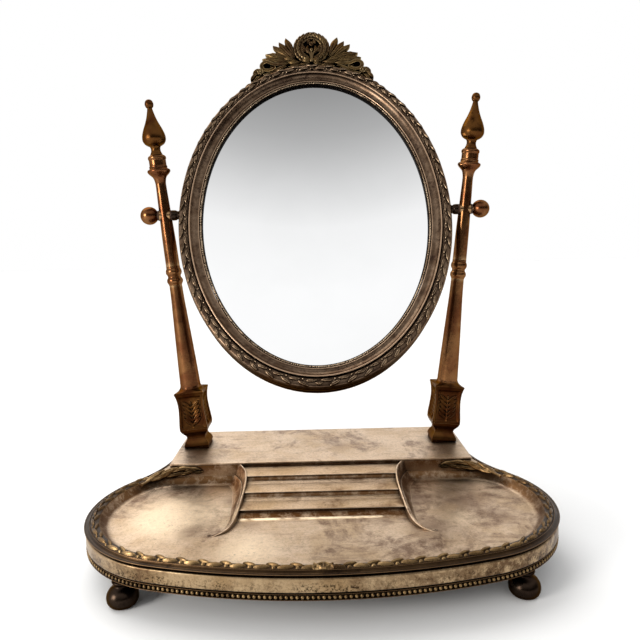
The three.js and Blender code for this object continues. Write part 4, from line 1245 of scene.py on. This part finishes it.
def backing():
    """A near-black dish behind the wreath: painted shade inside the ring."""
    turn = np.linspace(0, 2 * np.pi, 40, endpoint=False)
    ring = np.array([ring_point(t, -1.0) for t in turn])
    rings = scaled_rings(ring, ring.mean(0), ((1, 0.4), (0.8, -0.8), (0.5, -1.3), (0.5, -2.2), (1, -2.4)))
    Shape().skin(rings).build("wreath_hollow", on_mirror, "mirror", "ornament", CREST_SHADE, (), 40)


def cap(shape):
    """The plain disc that closes the back of the wreath."""
    turn = np.linspace(0, 2 * np.pi, 40, endpoint=False)
    ring = np.array([ring_point(t) for t in turn])
    shape.skin(scaled_rings(ring, RING_CENTRE, (
        (0.5, -2.45), (1, -2.45), (1.02, -2.6), (1, -2.75), (0.9, -2.8), (0.5, -2.8), (0.2, -2.8))))


def crest():
    shape = Shape()
    wreath(shape)
    stems(shape)
    for side in (-1, 1):
        spray(shape, side)
    seat_strip(shape)
    cap(shape)
    shape.build("wreath_and_sprays", on_mirror, "mirror", "ornament", CREST_BRASS, ("crest_ornament",), 60)
    backing()


# ---------------------------------------------------------------- pivots

def reach(node):
    """A piece's nearest and furthest distance from the middle of the object, along X."""
    return sorted(abs(x) for x in (low(node)[0], high(node)[0]))


def pivots():
    for name, side in SIDES:
        inner = SIGHT_A + FRAME_WIDTH
        _, end = reach(f"pivot_boss_{name}")
        boss = [(0, inner - 3), (5.6, inner - 3), (5.6, inner + 0.8), (4.6, inner + 1.6), (4.3, inner + 2.8),
                (4.6, inner + 4), (5.2, inner + 5), (5.4, end - 1.2), (5, end), (0, end)]
        Shape().lathe(spline(boss, 3), 40).build(
            f"boss_{name}", on_pivot(side), "mirror", "bronze", FOOT_BRONZE, (f"pivot_boss_{name}",), 40)
        start, tip = reach(f"pivot_knob_{name}")
        radius = 9.4
        centre = tip - radius
        neck = [(0, start), (4.7, start), (5, start + 0.4), (4.7, start + 0.9), (4.6, start + 1.2)]
        turns = np.radians(np.linspace(148, 0, 22))
        ball = [(radius * math.sin(a), centre + radius * math.cos(a)) for a in turns]
        Shape().lathe(np.array(neck + ball), 48).build(
            f"ball_knob_{name}", on_pivot(side), f"knob_{name}", "bronze", POST_BRONZE,
            (f"pivot_knob_{name}",), 35)
        for which in ("inner", "outer"):
            node = f"{which}_washer_{name}"
            face = abs(middle(node)[0])
            ring = [(radius, face + z) for radius, z in ((2.7, -0.5), (5.2, -0.5), (5.4, -0.3), (5.4, 0.3),
                                                         (5.2, 0.5), (2.7, 0.5), (2.7, -0.5))]
            Shape().lathe(ring, 36).build(
                f"{which}_disc_{name}", on_pivot(side), "base", "fibre", FIBRE, (node,), 35)


def carried_over():
    """CAD pieces whose shape is right keep it and get their material."""
    looks = {"mirror_glass": GLASS, "glass_packing": CARD}
    for name, _ in SIDES:
        for node in ("post_rod", "post_nut", "post_washer", "pivot_screw", "crest_screw",
                     "foot_screw_front", "foot_screw_rear"):
            looks[f"{node}_{name}"] = STEEL
    for node, material in looks.items():
        mesh = frame["nodes"][node].data
        mesh.materials.clear()
        mesh.materials.append(material)


# ---------------------------------------------------------------- floor, light, camera

WHITE = (1, 1, 1)
# Brightness of the room by height, 0 at the horizon to 1 straight up
OVERHEAD = [(0.0, 1.0), (0.78, 1.0), (0.84, 0.92), (0.875, 0.7), (0.91, 0.44), (0.94, 0.29), (1.0, 0.26)]


def floor():
    mesh = bpy.data.meshes.new("floor")
    half = 6.0
    corners = [(-half, -half, 0), (half, -half, 0), (half, half, 0), (-half, half, 0)]
    mesh.from_pydata(corners, [], [(0, 1, 2, 3)])
    obj = put("floor", mesh)
    n = Look("pale_floor")
    color = n.mix(n.noise(3, 2), (0.95, 0.95, 0.945), (0.93, 0.93, 0.925))
    mesh.materials.append(n.finish(color, n.spread(n.noise(8), 0.85, 0.95), 0.0))


def world():
    """A white backdrop; what the metal reflects is greyer overhead and dark in front, to the right."""
    sky = bpy.data.worlds.new("studio")
    bpy.context.scene.world = sky
    n = Nodes(sky)
    parts = n.make("ShaderNodeSeparateXYZ")
    n.link(n.make("ShaderNodeTexCoord").outputs["Generated"], parts.inputs[0])
    x, y, z = (parts.outputs[axis] for axis in "XYZ")
    ramp = n.make("ShaderNodeValToRGB")
    n.link(z, ramp.inputs["Fac"])
    first, last = ramp.color_ramp.elements
    first.position, last.position = OVERHEAD[0][0], OVERHEAD[-1][0]
    for position, _ in OVERHEAD[1:-1]:
        ramp.color_ramp.elements.new(position)
    for element, (_, value) in zip(ramp.color_ramp.elements, OVERHEAD):
        element.color = (value, value, value, 1)
    overhead = n.mix(n.step(y, 0.1, -0.1), WHITE, ramp.outputs["Color"])
    front = n.times(n.step(y, 0.3, -0.15), n.step(z, 0.62, 0.3))
    room = n.mix(n.times(front, n.step(x, -0.92, -0.5)), overhead, (0.06, 0.05, 0.042))
    backdrop = n.mix(n.make("ShaderNodeLightPath").outputs["Is Camera Ray"], room, WHITE)
    background = n.tree.nodes["Background"]
    n.link(backdrop, background.inputs["Color"])
    background.inputs["Strength"].default_value = 1.0


def lamp(name, kind, place, target, power, **settings):
    """A light at a place, shining at its target."""
    light = bpy.data.lights.new(name, kind)
    light.energy = power
    for key, value in settings.items():
        setattr(light, key, value)
    away = unit(np.subtract(place, target))
    across = unit(np.cross((0, 0, 1), away))
    turn = np.eye(4)
    turn[:3] = np.stack([across, np.cross(away, across), away, place], 1)
    put(name, light).matrix_world = Matrix(turn.tolist())


def camera():
    """Low in front, looking slightly down."""
    yaw, pitch, roll = math.radians(-0.27), math.radians(7.6), math.radians(-1.27)
    ahead = np.array([-math.sin(yaw) * math.cos(pitch), math.cos(yaw) * math.cos(pitch), -math.sin(pitch)])
    right = np.array([math.cos(yaw), math.sin(yaw), 0])
    up = np.cross(right, ahead)
    turn = np.eye(4)
    turn[:3, 0] = right * math.cos(roll) + up * math.sin(roll)
    turn[:3, 1] = up * math.cos(roll) - right * math.sin(roll)
    turn[:3, 2] = -ahead
    turn[:3, 3] = np.array([-0.5, FRONT - 399.1, 281.5]) * MM
    data = bpy.data.cameras.new("camera")
    data.sensor_width = 36
    data.lens = 33.75
    obj = put("camera", data)
    obj.matrix_world = Matrix(turn.tolist())
    bpy.context.scene.camera = obj


base()
posts()
frame_ring()
bezel()
back_board()
screws()
crest()
pivots()
carried_over()
floor()
world()
lamp("left_window", "AREA", (-1.3, -1.0, 0.55), (0, 0, 0.2), 16, size=0.5, color=(1, 0.97, 0.93))
lamp("sky", "SUN", (-0.5, 0.6, 1.1), (0, 0, 0), 1.3, angle=math.radians(50))
camera()
bpy.context.scene.view_settings.view_transform = "Standard"
